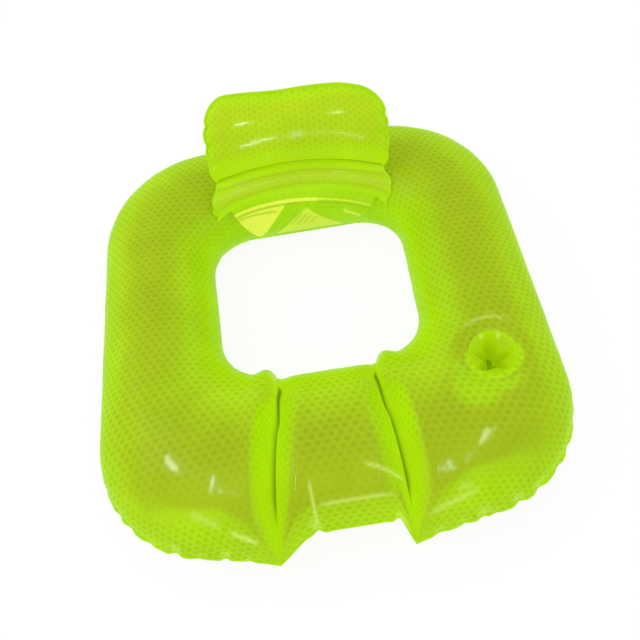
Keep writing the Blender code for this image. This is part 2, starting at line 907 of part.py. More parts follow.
def build():
    for old in list(bpy.data.objects):
        bpy.data.objects.remove(old)
    parts = bpy.data.collections.new("inflatable_pool_chair")
    cutters = bpy.data.collections.new("cutters")
    for collection in (parts, cutters):
        bpy.context.scene.collection.children.link(collection)
    vinyl = material("lime_vinyl", LIME, 0.35)
    flap_vinyl = material("flap_vinyl", BRIGHT, 0.3)
    valve_vinyl = material("valve_vinyl", CLEAR, 0.3)
    top = build_ring(parts, cutters, vinyl)
    ring_skin = skin_tree(top)
    build_cup_well(parts, vinyl)
    build_pillow(parts, cutters, vinyl, ring_skin)
    build_flap(parts, flap_vinyl, ring_skin)
    build_valve("ring_valve", RING_PAD, parts, cutters, valve_vinyl)
    build_valve("headrest_valve", HEADREST_PAD, parts, cutters, valve_vinyl)
    fold = bpy.data.objects.new("headrest_fold_axis", None)
    parts.objects.link(fold)
    fold.location = flap_foot
    for name in (
        "headrest_front_sheet",
        "headrest_back_sheet",
        "headrest_flap",
        "headrest_valve_axis",
    ):
        child = parts.objects[name]
        child.parent = fold
        child.location -= flap_foot


build()
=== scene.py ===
"""Looks for the inflatable pool chair: taut lime film with a dot emboss, welded seams and
creases, a pleated cup well, a pillow headrest on its flap, and two air valves.
Metres, +Z up, front at -Y."""

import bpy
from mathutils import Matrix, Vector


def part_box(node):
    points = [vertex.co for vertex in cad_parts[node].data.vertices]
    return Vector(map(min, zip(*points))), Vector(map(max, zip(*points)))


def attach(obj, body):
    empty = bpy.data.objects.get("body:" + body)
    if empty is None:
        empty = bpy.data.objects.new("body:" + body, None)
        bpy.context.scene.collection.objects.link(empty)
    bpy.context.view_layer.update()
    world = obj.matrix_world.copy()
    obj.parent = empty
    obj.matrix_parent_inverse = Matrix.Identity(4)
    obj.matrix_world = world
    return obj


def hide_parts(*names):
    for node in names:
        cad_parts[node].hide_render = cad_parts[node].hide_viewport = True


bl_info = {
    "name": "Inflatable pool chair",
    "version": (1, 0, 0),
    "blender": (4, 5, 0),
    "location": "3D View > Sidebar > Pool chair",
    "description": "Dresses the packed pool chair in embossed lime film",
    "category": "Object",
}

import math
from functools import lru_cache

import bmesh
import bpy
from mathutils import Matrix, Vector, noise
from mathutils.bvhtree import BVHTree

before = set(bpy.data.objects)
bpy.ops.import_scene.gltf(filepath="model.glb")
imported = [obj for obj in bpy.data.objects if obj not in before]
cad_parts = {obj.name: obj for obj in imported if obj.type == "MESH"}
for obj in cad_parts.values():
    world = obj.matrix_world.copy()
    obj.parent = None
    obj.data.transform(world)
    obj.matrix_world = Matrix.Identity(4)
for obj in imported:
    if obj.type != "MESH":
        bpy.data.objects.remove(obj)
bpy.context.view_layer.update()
UP = Vector((0, 0, 1))

# The ring's outlines, seen from above, as in the frame
OPENING_HALF_WIDTH = 0.205
OPENING_FRONT = 0.183
OPENING_BACK = 0.195
OPENING_FRONT_CORNER = 0.106
OPENING_BACK_CORNER = 0.104
ARM_WIDTH_FRONT = 0.255
ARM_WIDTH_BACK = 0.229
FRONT_WIDTH = 0.330
CENTRE_WIDTH = 0.311
BACK_WIDTH = 0.200
OUTER_FRONT_CORNER = 0.224
OUTER_BACK_CORNER = 0.240
CORNER_SHARES = (0.55, 0.50)

# The ring's heights and seams
SEAM_HEIGHT = 0.108
BACK_RISE = 0.096
ARM_RISE = 0.113
LOBE_RISE = 0.124
CENTRE_RISE = 0.100
FLOOR_PRESS = 0.0005
OUTER_SEAM = math.radians(4)
INNER_SEAM = math.radians(42)
FLANGE_WIDTH = 0.005
FILM = 0.0003
GAP = 0.0003
CAD_LAYER = 0.00045
LAYER = 0.0002
INSET = LAYER / (ARM_WIDTH_FRONT / 2)
FLANGE_RIPPLE = 0.0006
RIPPLES = 2 * math.pi / 0.034
WAVE_SIZE = 0.045
WAVE_DETAIL = 2.3
SECTION_STEPS = 40
PLACE_STEPS = 20
WALL_STEPS = 6
STEP = 0.0005
LEAST_ANGLE = 0.01

# How the ring's film is coloured, with its shading by slope, shade, highlights and glow painted
# in. A pair is the start and the run of a smooth change, or the middle and the width of a bell
# Axis of the painted shading by slope: film facing it is drawn darker olive, film turned away
# brighter lime. It leans towards the front
FACING = Vector((0, -0.34, 0.94)).normalized()
# The dark weld line in each crease, spread up its walls as painted shade at the crease's bottom
WELD_SHADE = 0.50
WELD_START = (0.18, 0.20)
WELD_END = (0.97, 0.05)
# Painted glow: along the creases, on the side towards the hole and along the outer edge and
# flange
GLOW_RUN = 0.040
CREASE_DOTS = 0.5
HOLE_SIDE = (115, 60)
HOLE_DOTS = 0.6
HOLE_GLOW = 0.35
TAUT_BAND = (-0.365, 0.05)
TAUT_HEIGHT = (0.15, 0.03)
TAUT_DOTS = 0.7
EDGE_SIDE = (4, 46)
EDGE_GLOW = 0.8
# Painted light: the flattened front facets and the puckers are drawn as brighter steep film, and
# the puckers get a painted highlight
FACET_SLOPE = 0.55
PLEAT_SLOPE = 0.60
PLEAT_PALE = 0.25
PLEAT_DEEP = 0.003

# The film round the cup well's mouth: a painted bright patch in front of it, its near rim painted
# bright and glowing, and a painted highlight on a lip and an arc behind it
CUP_NEAR = 0.2
CUP_PATCH = (-0.045, 0.045, -0.066, 0.040)
CUP_PATCH_SLOPE = 0.45
RIM_GLOW_RUN = 0.014
RIM_FRONT_RUN = 0.05
RIM_SLOPE = 0.9
RIM_GLOW = 0.75
BEHIND_CUP = (0.70, 0.25)
LIP_TONE = 0.3
LIP_AT = 0.002
LIP_RUN = 0.004
ARC = (0.073, 0.003)
ARC_TONE = 0.35

# The two welded creases
CREASE_INNER_X = 0.113
CREASE_OUTER_X = 0.125
TIP_REACH = 0.030
FRONT_SWAY = 0.0125
TIP_RUN_OUTER = 0.150
TIP_RUN_LEFT = 0.074
TIP_RUN_RIGHT = 0.024
TIP_POWER = 1.5
INNER_BUMP = 0.016
BUMP_RUN = 0.028
BUMP_BESIDE = 0.013
CREASE_DRAW = 0.0125
DRAW_RUN = 0.080
CREASE_BOW = 0.010
BOW_RUN = 0.110
BRIDGE_DRAW = 0.012
BRIDGE_START = (0.77, 0.13)
BRIDGE_END = (0.98, 0.12)
WELD_LINE = 0.002
WELD_LAND = 0.006
WALL_RUN = 0.056
PASSAGE_RUN = 0.10
PASSAGE_HEIGHT = 0.80

# The cup well
CUP_INWARD = 0.0185
CUP_FORWARD = 0.061
CUP_MOUTH = 0.0465
CUP_SEAT_RUN = 0.011
CUP_SHOULDER_RUN = 0.034
CUP_DIMPLE = 0.013
CUP_DEPTH = 0.092
CUP_PLEAT_REACH = 0.020
CUP_NECK_SHARE = 0.80
CUP_SQUEEZE_POWER = 0.8
CUP_LOBE_UNEVEN = (0.22, 0.6)
CUP_LOBE_TURN = 1.47
CUP_BULGE_UNEVEN = ((0.15, 2, 0.7), (0.10, 3, -0.4))
CUP_BULGE_FADES = (4, 6)
# Painted highlights on two lobes near the top of the sleeve's back wall: their turns, width, and
# place down the sleeve
CUP_PALE = (math.radians(64), math.radians(109))
CUP_PALE_WIDTH = 0.0045
CUP_PALE_AT = (0.10, 0.05)
# Strength of the painted shade in the pleats and deeper down, and of the painted highlights;
# painted glow, less deeper down
CUP_PLEAT_TONE = 0.4
CUP_DEEP_TONE = 0.7
CUP_PALE_TONE = 0.6
CUP_GLOW = 0.9
CUP_DEEP_GLOW = 0.3
CUP_BASE = 0.035
CUP_BASE_RINGS = 4
RIM_RUN = 0.005
RIM_DROP = 0.0018

# The pillow, in its own plane
ROLL_LENGTH = 0.058
ROLL_HALF_WIDTH = 0.183
ROLL_SWELL = 0.011
ROLL_HALF_DEPTH = 0.022
NECK_HALF_WIDTH = 0.171
LOBE_LENGTH = 0.152
LOBE_HALF_WIDTH = 0.185
LOBE_HALF_DEPTH = 0.046
LOBE_FOOT_ROUND = 0.045
LOBE_TOP_ROUND = 0.066
LOBE_TOP_INSET = 0.050
ARCH_FOOT = 0.036
ARCH_WAIST = 0.024
ARCH_TOP = 0.002
TOP_DIP = (-0.035, 0.060, 0.005)
CORNER_DROOP = (0.085, 0.095, 0.014)
BOW = 0.022
LEAN = math.radians(61)
SKEW = math.radians(3.5)
HEADREST_OFFSET = 0.009
EAR_DROOP = 0.008
EAR_RUN = 0.050
STAND_OFF = 0.012
CLEARANCE = 0.0040
# Dark line of the waist's weld, partly weld and partly painted shade of its crease
WAIST_SHADE = 0.0028
PILLOW_POWERS = (2.4, 3.2)
PILLOW_BOW = 0.6
PILLOW_TUCK_MOST = 0.8
PILLOW_NOTCH_POWER = 6
ROLL_LINE_DEPTH = 0.002
PILLOW_STRETCH = 0.25
# Painted glow near the waist, at the roll's foot and a least share everywhere, brighter painted
# light where it glows, and fewer dots there
PILLOW_GLOW_RUN = 0.090
ROLL_GLOW_RUN = 0.030
PILLOW_GLOW = 0.35
PILLOW_SLOPE = 0.6
PILLOW_GLOW_DOTS = 0.8
ROLL_DOTS = 0.5
PILLOW_WAVE_SIZE = 0.035
PILLOW_WAVE_SHARE = 0.5
# How far the pillow's painted shading by slope leans up from its front
PILLOW_FACING_UP = 0.3

# The flap
FLAP_BOTTOM_HALF = 0.098
FLAP_TOP_SHARE = 0.866
# Width of the painted shade along the fold lines, and how far the flap is drawn bright lime where
# no facet is painted pale
FLAP_LINE_WIDTH = 0.018
FLAP_NEON = 0.60
FLAP_LIFT = 0.0014
FLAP_FOOT_RUN = 0.003
LEAVE = math.radians(130)
LEAVE_SEARCH = (-30, 60, 3)
LEAVE_STEPS = 12
FLAP_RUN = 0.179
FLAP_BEHIND = 2.5
FLAP_FREE = 6
FACET_EDGE = 0.03
# A row of small pleats with dashes of painted shade: place, lean, width, end, sharpness, turns,
# shade and height
PLEATS_AT = 0.76
PLEATS_LEAN = 0.17
PLEATS_WIDTH = 0.022
PLEATS_END = 0.65
PLEATS_SHARP = 8
PLEATS_TURN = 26
PLEATS_SHADE = 0.5
PLEATS_HEIGHT = 0.0012
# A hem band under the pillow, drawn bright lime as painted light with more painted glow; the
# flap's dots and painted glow
HEM_AT = 0.88
HEM_LEAN = 0.050
HEM_RUN = 0.02
HEM_SLOPE = 0.7
FLAP_DOTS = 0.6
FLAP_GLOW = 0.6
HEM_GLOW = 0.3

# The valves
STEM_RADIUS = 0.0050
STEM_BORE = 0.0038
STEM_TRAVEL = 0.0080
STEM_HOLD = 0.0070
COLLAR_RADIUS = 0.0068
COLLAR_THICKNESS = 0.0014
VALVE_BASE = 0.0130
VALVE_BASE_THICKNESS = 0.0008
VALVE_STEPS = (0.0014, 0.0022)
VALVE_PAD_RUN = 0.022
GUIDE_LENGTH = 0.0055
GUIDE_WALL = 0.0007
VALVE_CLEARANCE = 0.0003
VALVE_HOLE = 0.0063
PLUG_CAP_RADIUS = 0.0060
PLUG_DISH_SHARES = (0.55, 0.62)
PLUG_CAP_THICKNESS = 0.0016
PLUG_SPIGOT_LENGTH = 0.0048
PLUG_SPIGOT_RADIUS = 0.0032
PLUG_TIP_RADIUS = 0.0018
STRAP_WIDTH = 0.0038
STRAP_THICKNESS = 0.0010
STRAP_LIFT = 0.0002
HINGE_OFFSET = 0.0100
RING_VALVE_X = -0.150
RING_VALVE_ANGLE = math.radians(-38)
TAB_ROUND = 0.3
VALVE_SHARP = math.radians(50)

# Fineness
CENTRE_COLUMNS = 24
WALL_COLUMNS = 14
LOBE_COLUMNS = 34
CORNER_COLUMNS = 92
SIDE_COLUMNS = 24
BACK_CORNER_COLUMNS = 40
BACK_COLUMNS = 14
TOP_ROWS = 62
BOTTOM_ROWS = 44
FLANGE_ROWS = 2
ARC_STEP = 5
ARC_LOW = -36
ARC_HIGH = 45
PILLOW_COLUMNS = 92
ROLL_ROWS = 26
LOBE_ROWS = 54
FLAP_COLUMNS = 110
FLAP_ROWS = 80
CUP_TURNS = 120
CUP_ROWS = 40
CUP_FINE = (0.078, 0.062)
VALVE_TURNS = 40
RING_VALVE_FINE = (0.04, 0.02, 0.011)
HEADREST_VALVE_FINE = (0.03, 0.016, 0.010)
HOLE_EASE = 1.3
MERGE = 0.00002
UV_NAME = "film_uv"
MASK_NAME = "film_mask"

# The camera, from the photograph's perspective
CAMERA_PLACE = Vector((0.009, -0.8875, 1.7438))
CAMERA_LENS = 50.708
CAMERA_SENSOR = 36
CAMERA_ELEVATION = 61.1434
CAMERA_AZIMUTH = 0.3891
CAMERA_ROLL = 9.5587

# Slopes between which the film's colour turns to that of sloping and of steep film, which paint
# its shading: darker facing the axis, brighter turned away
SLOPING_FROM = (0.03, 0.25)
STEEP_FROM = (0.22, 0.60)

# Noise of the finishes: scale and detail. Span of the noise that is used
FILM_CLOUDS = (9.0, 3.0)
FILM_GRAIN = (260.0, 2.0)
VALVE_CLOUDS = (120.0, 3.0)
CLOUD_SPAN = (0.3, 0.7)

# The valves' moulded vinyl: how pale from and to, and depth and strength of its unevenness
VALVE_PALE = (0.9, 1.05)
VALVE_BUMP = (0.00008, 0.6)
VALVE_ROUGHNESS = 0.28
VALVE_IOR = 1.4

# Colours of single pieces
CUP_DEEP = (0.33, 0.56, 0.004)
# Painted shade in the cup well's pleats and deeper down
CUP_PAINTED_SHADE = (0.33, 0.49, 0.001)
# The pillow's colours facing out and sloping, for its painted shading by slope, and of its weld
# and painted shade
PILLOW_FLAT = (0.48, 0.71, 0.010)
PILLOW_SLOPING = (0.47, 0.80, 0.008)
PILLOW_WELD_AND_SHADE = (0.27, 0.50, 0.003)
# The flap's pale colour, painted light of its lit single film, its lime on edge, and its painted
# shade along folds
FLAP_FLAT = (0.86, 0.99, 0.090)
FLAP_STEEP = (0.42, 0.77, 0.008)
FLAP_FOLD_SHADE = (0.34, 0.58, 0.006)

# Floor and backdrop
WHITE = (1, 1, 1, 1)
FLOOR_PALE = (0.9, 0.9, 0.9, 1)
FLOOR_WHITE = 1.02
FLOOR_TURNS = 64
FLOOR_DROP = 0.0005

# Lamp that lights the film: name, place, point aimed at, width, length, power
LAMPS = (("key", (-1.5, 0.2, 2.1), (0, 0, 0.1), 1.6, 1.6, 12.0),)

# Windows that show only as glints: name, width, length and strength, then the direction from
# the glint, the glint's place, and the way it is long
GLINTS = (
    ("left_a", 0.04, 0.14, 1.1)
    + ((-0.457, -0.001, 0.89), (-0.298, -0.294, 0.225), (0.02, -1, -0.01)),
    ("left_b", 0.025, 0.24, 1.7)
    + ((-0.282, -0.277, 0.918), (-0.215, -0.345, 0.22), (-0.08, -0.94, -0.32)),
    ("right_a", 0.045, 0.17, 1.0)
    + ((0.344, -0.21, 0.915), (0.26, -0.334, 0.22), (0.34, 0.93, 0.1)),
    ("right_b", 0.012, 0.18, 1.3)
    + ((0.29, -0.529, 0.797), (0.182, -0.373, 0.21), (0.09, 0.82, 0.57)),
    ("pillow_a", 0.04, 0.09, 1.6)
    + ((-0.045, -0.817, 0.574), (-0.084, 0.342, 0.366), (0.78, 0.33, 0.53)),
    ("pillow_b", 0.05, 0.06, 1.3)
    + ((0.037, -0.796, 0.604), (0.106, 0.338, 0.358), (0.98, 0.14, 0.12)),
    ("line_left", 0.026, 0.18, 1.3)
    + ((-0.021, -0.996, 0.083), (-0.065, 0.319, 0.331), (0.95, 0.04, 0.32)),
    ("line_right", 0.014, 0.25, 0.7)
    + ((0.062, -0.997, 0.055), (0.114, 0.312, 0.319), (0.89, 0, -0.46)),
)
GLINT_REACH = 0.6
GLINT_SPREAD = math.radians(44)
GLINT_POWER = 12.0

# Tucks in the pillow's round sides: side, height, depth, half width, run towards the middle
PILLOW_TUCKS = (
    (-1, 0.006, 0.006, 0.005, 0.050),
    (-1, 0.022, 0.004, 0.004, 0.035),
    (-1, 0.044, 0.003, 0.004, 0.030),
    (-1, 0.100, 0.003, 0.006, 0.030),
    (-1, 0.135, 0.003, 0.006, 0.035),
    (-1, 0.170, 0.004, 0.006, 0.040),
    (1, 0.008, 0.006, 0.005, 0.045),
    (1, 0.026, 0.004, 0.004, 0.035),
    (1, 0.048, 0.003, 0.004, 0.030),
    (1, 0.095, 0.003, 0.006, 0.030),
    (1, 0.130, 0.004, 0.006, 0.035),
    (1, 0.165, 0.004, 0.006, 0.045),
)

# Fine lines along the roll, small grooves and ridges: place, half width, and how dark its painted
# shade, or below 0 how pale its painted highlight
ROLL_LINES = ((0.78, 0.03, 0.40), (0.58, 0.05, -0.15), (0.44, 0.05, -0.12), (0.27, 0.05, 0.20))

# Folds in the flap: ends of the fold's line, half width, height, and how dark the painted shade
# along its line is
FLAP_FOLDS = (
    (-1.20, 0.870, 0.10, 0.800, 0.05, 0.0012, 0.80),
    (0.05, 0.805, 1.20, 0.720, 0.05, 0.0012, 0.70),
    (-1.10, 0.825, -0.35, 0.735, 0.05, 0.0010, 0.70),
    (-0.15, 0.800, -0.82, 0.280, 0.16, 0.0035, 0.25),
    (-0.05, 0.780, -0.55, 0.330, 0.10, 0.0020, 0.25),
    (0.05, 0.720, 0.45, 0.420, 0.18, 0.0035, 0.25),
    (0.60, 0.640, 1.00, 0.480, 0.10, 0.0020, 0.25),
    (-0.32, 0.400, -0.02, 0.660, 0.03, 0.0008, 0.50),
    (-0.20, 0.390, 0.05, 0.640, 0.03, 0.0008, 0.50),
    (-0.08, 0.390, 0.12, 0.610, 0.03, 0.0008, 0.50),
    (0.04, 0.390, 0.20, 0.570, 0.03, 0.0008, 0.50),
)

# Facets of the flap drawn pale as painted light: lines that each facet lies to the left of, and
# how pale it is
FLAP_BAND = ((-1.00, 0.860, 1.00, 0.785), (1.00, 0.812, -1.00, 0.915))
FLAP_FACETS = (
    (*FLAP_BAND, (0.2, 0.0, 0.2, 1.0), 1.0),
    (*FLAP_BAND, (0.2, 1.0, 0.2, 0.0), 0.45),
    ((0.10, 0.790, -1.00, 0.850), (-0.85, 0.300, -0.36, 0.740), 1.0),
    ((0.02, 0.720, -0.40, 0.400), (0.40, 0.450, 0.02, 0.720), (-2.0, 0.20, 2.0, 0.20), 0.38),
    ((0.64, 0.590, 0.95, 0.480), (0.95, 0.540, 0.64, 0.650))
    + ((0.93, 0.0, 0.93, 1.0), (0.62, 1.0, 0.62, 0.0), 0.5),
)

# The ridge below which the front face is flattened, and the painted highlight along it on the
# centre cushion
RIDGE_SPAN = 0.070
RIDGE_RUN = 0.12
RIDGE_END = (0.26, 0.20)
CENTRE_RIDGE_SPAN = 0.028
CENTRE_RIDGE_STRENGTH = 0.6
RIDGE_LINE = 0.0032
RIDGE_PALE = 0.45
RIDGE_PALE_FROM = {-1: 0.077, 1: 0.020}
RIDGE_PALE_RUN = 0.03

# Tension folds on the ring's front: ends in plan, half width, height, and how strong the painted
# highlight along the crest is
FOLDS_BEFORE = -0.3
FOLDS_FADE = 4
FLAP_FOLDS_FADE = 5
FOLDS = (
    (0.034, -0.336, 0.117, -0.367, 0.0030, 0.0012, 0.60),
    (-0.220, -0.414, -0.164, -0.443, 0.0030, 0.0012, 0.60),
    (-0.285, -0.376, -0.225, -0.410, 0.0060, 0.0008, 0.25),
    (0.132, -0.440, 0.245, -0.407, 0.0035, 0.0012, 0.35),
    (0.196, -0.408, 0.228, -0.402, 0.0030, 0.0010, 0.30),
    (-0.0625, -0.345, -0.0600, -0.425, 0.0030, 0.0012, 0.50),
)

# Places where the ring's mesh is finer: centre and radii
FINE_PLACES = (
    ((0.02, -0.385, 0.17), (0.10,)),
    ((-0.215, -0.41, 0.17), (0.08,)),
    ((0.19, -0.41, 0.17), (0.07,)),
)

# How the dots are drawn apart and together: across and along, at the front and at the back
GATHER_FROM = -0.30
GATHER_RUN = 0.35
DOTS_WIDE_FRONT = 0.90
DOTS_WIDE_BACK = 1.0
DOTS_CLOSE_FRONT = 1.05
DOTS_CLOSE_BACK = 1.28
DOTS_ARCH = 0.22
DOTS_CLOSE_PILLOW = 1.15

# Puckers where the outer seam gathers the film: side, place along the outer outline, depth,
# half width, run up the film, and lean of the pucker as it runs
PUCKER_WIDEN = 2.2
PUCKER_REACH = 3
PUCKER_SWELL = 1.3
PUCKERS = (
    (-1, 0.0480, 0.0050, 0.0050, 0.085, 0.11),
    (-1, 0.1850, 0.0020, 0.0050, 0.030, 0.05),
    (-1, 0.2340, 0.0045, 0.0050, 0.050, -0.05),
    (-1, 0.2860, 0.0020, 0.0060, 0.035, 0.00),
    (-1, 0.3303, 0.0055, 0.0055, 0.060, 0.10),
    (-1, 0.3850, 0.0025, 0.0060, 0.035, 0.00),
    (-1, 0.4353, 0.0035, 0.0065, 0.045, 0.05),
    (-1, 0.4684, 0.0030, 0.0060, 0.040, 0.00),
    (-1, 0.5300, 0.0020, 0.0070, 0.040, 0.00),
    (1, 0.1021, 0.0050, 0.0050, 0.060, 0.20),
    (1, 0.1669, 0.0030, 0.0060, 0.035, 0.00),
    (1, 0.2100, 0.0022, 0.0050, 0.030, 0.00),
    (1, 0.2428, 0.0045, 0.0050, 0.055, 0.10),
    (1, 0.2628, 0.0030, 0.0055, 0.040, -0.05),
    (1, 0.3141, 0.0050, 0.0060, 0.055, 0.00),
    (1, 0.3603, 0.0045, 0.0065, 0.050, 0.05),
    (1, 0.4150, 0.0030, 0.0065, 0.040, 0.00),
    (1, 0.4600, 0.0030, 0.0070, 0.045, 0.00),
    (1, 0.5200, 0.0020, 0.0070, 0.040, 0.00),
    (-1, 1.0900, 0.0030, 0.0080, 0.050, 0.00),
    (-1, 1.1700, 0.0040, 0.0080, 0.055, 0.08),
    (-1, 1.2500, 0.0030, 0.0075, 0.045, 0.00),
    (-1, 1.3200, 0.0040, 0.0080, 0.055, -0.05),
    (-1, 1.3900, 0.0025, 0.0080, 0.045, 0.00),
    (1, 1.0700, 0.0030, 0.0080, 0.050, 0.00),
    (1, 1.1500, 0.0040, 0.0075, 0.055, 0.05),
    (1, 1.2200, 0.0030, 0.0080, 0.045, 0.00),
    (1, 1.3050, 0.0040, 0.0080, 0.060, 0.00),
    (1, 1.3750, 0.0030, 0.0080, 0.045, -0.05),
)


def clamp01(value):
    return min(1.0, max(0.0, value))


def smooth(value):
    t = clamp01(value)
    return t * t * (3 - 2 * t)


def lerp(a, b, t):
    return a + (b - a) * t


def ramp(value, start, run):
    """Smooth change from 0 at a start to 1 a run further on."""
    return smooth((value - start) / run)


def bell(value, middle, width):
    return math.exp(-(((value - middle) / width) ** 2))


def fading(along, sharpness):
    """1 along a line, fading to 0 at both of its ends."""
    return smooth(sharpness * along) * smooth(sharpness * (1 - along))


def dome(value):
    """Quarter circle: 0 at 0, rising steeply at first, 1 from 1 onwards."""
    return math.sqrt(1 - (1 - clamp01(value)) ** 2)


def turning_point(low, high, before, steps):
    """Value between two, up to which a test holds."""
    for _ in range(steps):
        middle = (low + high) / 2
        low, high = (middle, high) if before(middle) else (low, middle)
    return low


def turned(centre, radius, angle):
    return centre + radius * Vector((math.cos(angle), math.sin(angle)))


class Outline:
    """Right half of a rounded outline, from its front middle round to its back middle."""

    def __init__(self, front_half, back_half, front, back, front_corner, back_corner):
        front_centre = Vector((front_half - front_corner, -front + front_corner))
        back_centre = Vector((back_half - back_corner, back - back_corner))
        lean = math.atan2(front_half - back_half, (back_centre - front_centre).y)
        side_a = turned(front_centre, front_corner, lean)
        side_b = turned(back_centre, back_corner, lean)
        self.lengths = (
            front_centre.x,
            front_corner * (math.pi / 2 + lean),
            (side_b - side_a).length,
            back_corner * (math.pi / 2 - lean),
            back_centre.x,
        )
        self.places = (
            lambda t: Vector((front_centre.x * t, -front)),
            lambda t: turned(front_centre, front_corner, lerp(-math.pi / 2, lean, t)),
            lambda t: side_a.lerp(side_b, t),
            lambda t: turned(back_centre, back_corner, lerp(lean, math.pi / 2, t)),
            lambda t: Vector((back_centre.x * (1 - t), back)),
        )

    def before(self, piece, share=0.0):
        """Length of outline before a share of one of its five pieces."""
        return sum(self.lengths[:piece]) + share * self.lengths[piece]

    def at(self, distance):
        for length, place in zip(self.lengths[:-1], self.places[:-1]):
            if distance <= length:
                return place(distance / length)
            distance -= length
        return self.places[-1](clamp01(distance / self.lengths[-1]))

    def reaching(self, x):
        """Length of outline at which its front reaches x."""
        return turning_point(0.0, self.before(2), lambda at: self.at(at).x < x, SECTION_STEPS)


INNER = Outline(
    OPENING_HALF_WIDTH,
    OPENING_HALF_WIDTH,
    OPENING_FRONT,
    OPENING_BACK,
    OPENING_FRONT_CORNER,
    OPENING_BACK_CORNER,
)
OUTER = Outline(
    OPENING_HALF_WIDTH + ARM_WIDTH_FRONT,
    OPENING_HALF_WIDTH + ARM_WIDTH_BACK,
    OPENING_FRONT + FRONT_WIDTH,
    OPENING_BACK + BACK_WIDTH,
    OUTER_FRONT_CORNER,
    OUTER_BACK_CORNER,
)
CREASE = (INNER.reaching(CREASE_INNER_X), OUTER.reaching(CREASE_OUTER_X))
SHIFT_Y = (FRONT_WIDTH + OPENING_FRONT + TIP_REACH - OPENING_BACK - BACK_WIDTH) / 2


def station_table():
    """Places of the ring's cross-sections on one half: lengths along the inner and the outer
    outline, distance from the crease (negative towards the middle), and the tube's height."""
    corner = (INNER.before(1, CORNER_SHARES[0]), OUTER.before(1, CORNER_SHARES[1]))
    side_front = (INNER.before(2), OUTER.before(2))
    side_back = (INNER.before(3), OUTER.before(3))
    back_corner = (INNER.before(4), OUTER.before(4))
    back_middle = (INNER.before(4, 1.0), OUTER.before(4, 1.0))
    land = WELD_LINE / 2
    stations = []

    def add(start, end, t, distance, rise):
        stations.append((lerp(start[0], end[0], t), lerp(start[1], end[1], t), distance, rise))

    weld_edge = CREASE[0] - land
    wall_start = weld_edge - WALL_RUN
    for i in range(CENTRE_COLUMNS):
        place = wall_start * i / CENTRE_COLUMNS
        add((0, 0), CREASE, place / CREASE[0], place - weld_edge, CENTRE_RISE)
    for i in range(WALL_COLUMNS, -1, -1):
        away = WALL_RUN * (i / WALL_COLUMNS) ** 2
        add((0, 0), CREASE, (weld_edge - away) / CREASE[0], -away, CENTRE_RISE)
    lobe_run = corner[1] - CREASE[1]
    for i in range(WALL_COLUMNS + 1):
        away = WALL_RUN * (i / WALL_COLUMNS) ** 2
        add(CREASE, corner, (land + away) / lobe_run, away, LOBE_RISE)
    wall_end = (land + WALL_RUN) / lobe_run
    for i in range(1, LOBE_COLUMNS + 1):
        add(CREASE, corner, lerp(wall_end, 1.0, i / LOBE_COLUMNS), WALL_RUN, LOBE_RISE)
    spans = (
        (corner, side_front, CORNER_COLUMNS, LOBE_RISE, ARM_RISE),
        (side_front, side_back, SIDE_COLUMNS, ARM_RISE, ARM_RISE),
        (side_back, back_corner, BACK_CORNER_COLUMNS, ARM_RISE, BACK_RISE),
        (back_corner, back_middle, BACK_COLUMNS, BACK_RISE, BACK_RISE),
    )
    for start, end, count, rise_a, rise_b in spans:
        for i in range(1, count + 1):
            t = i / count
            add(start, end, t, WALL_RUN, lerp(rise_a, rise_b, smooth(t)))
    return stations


STATIONS = station_table()
HALF = len(STATIONS) - 1


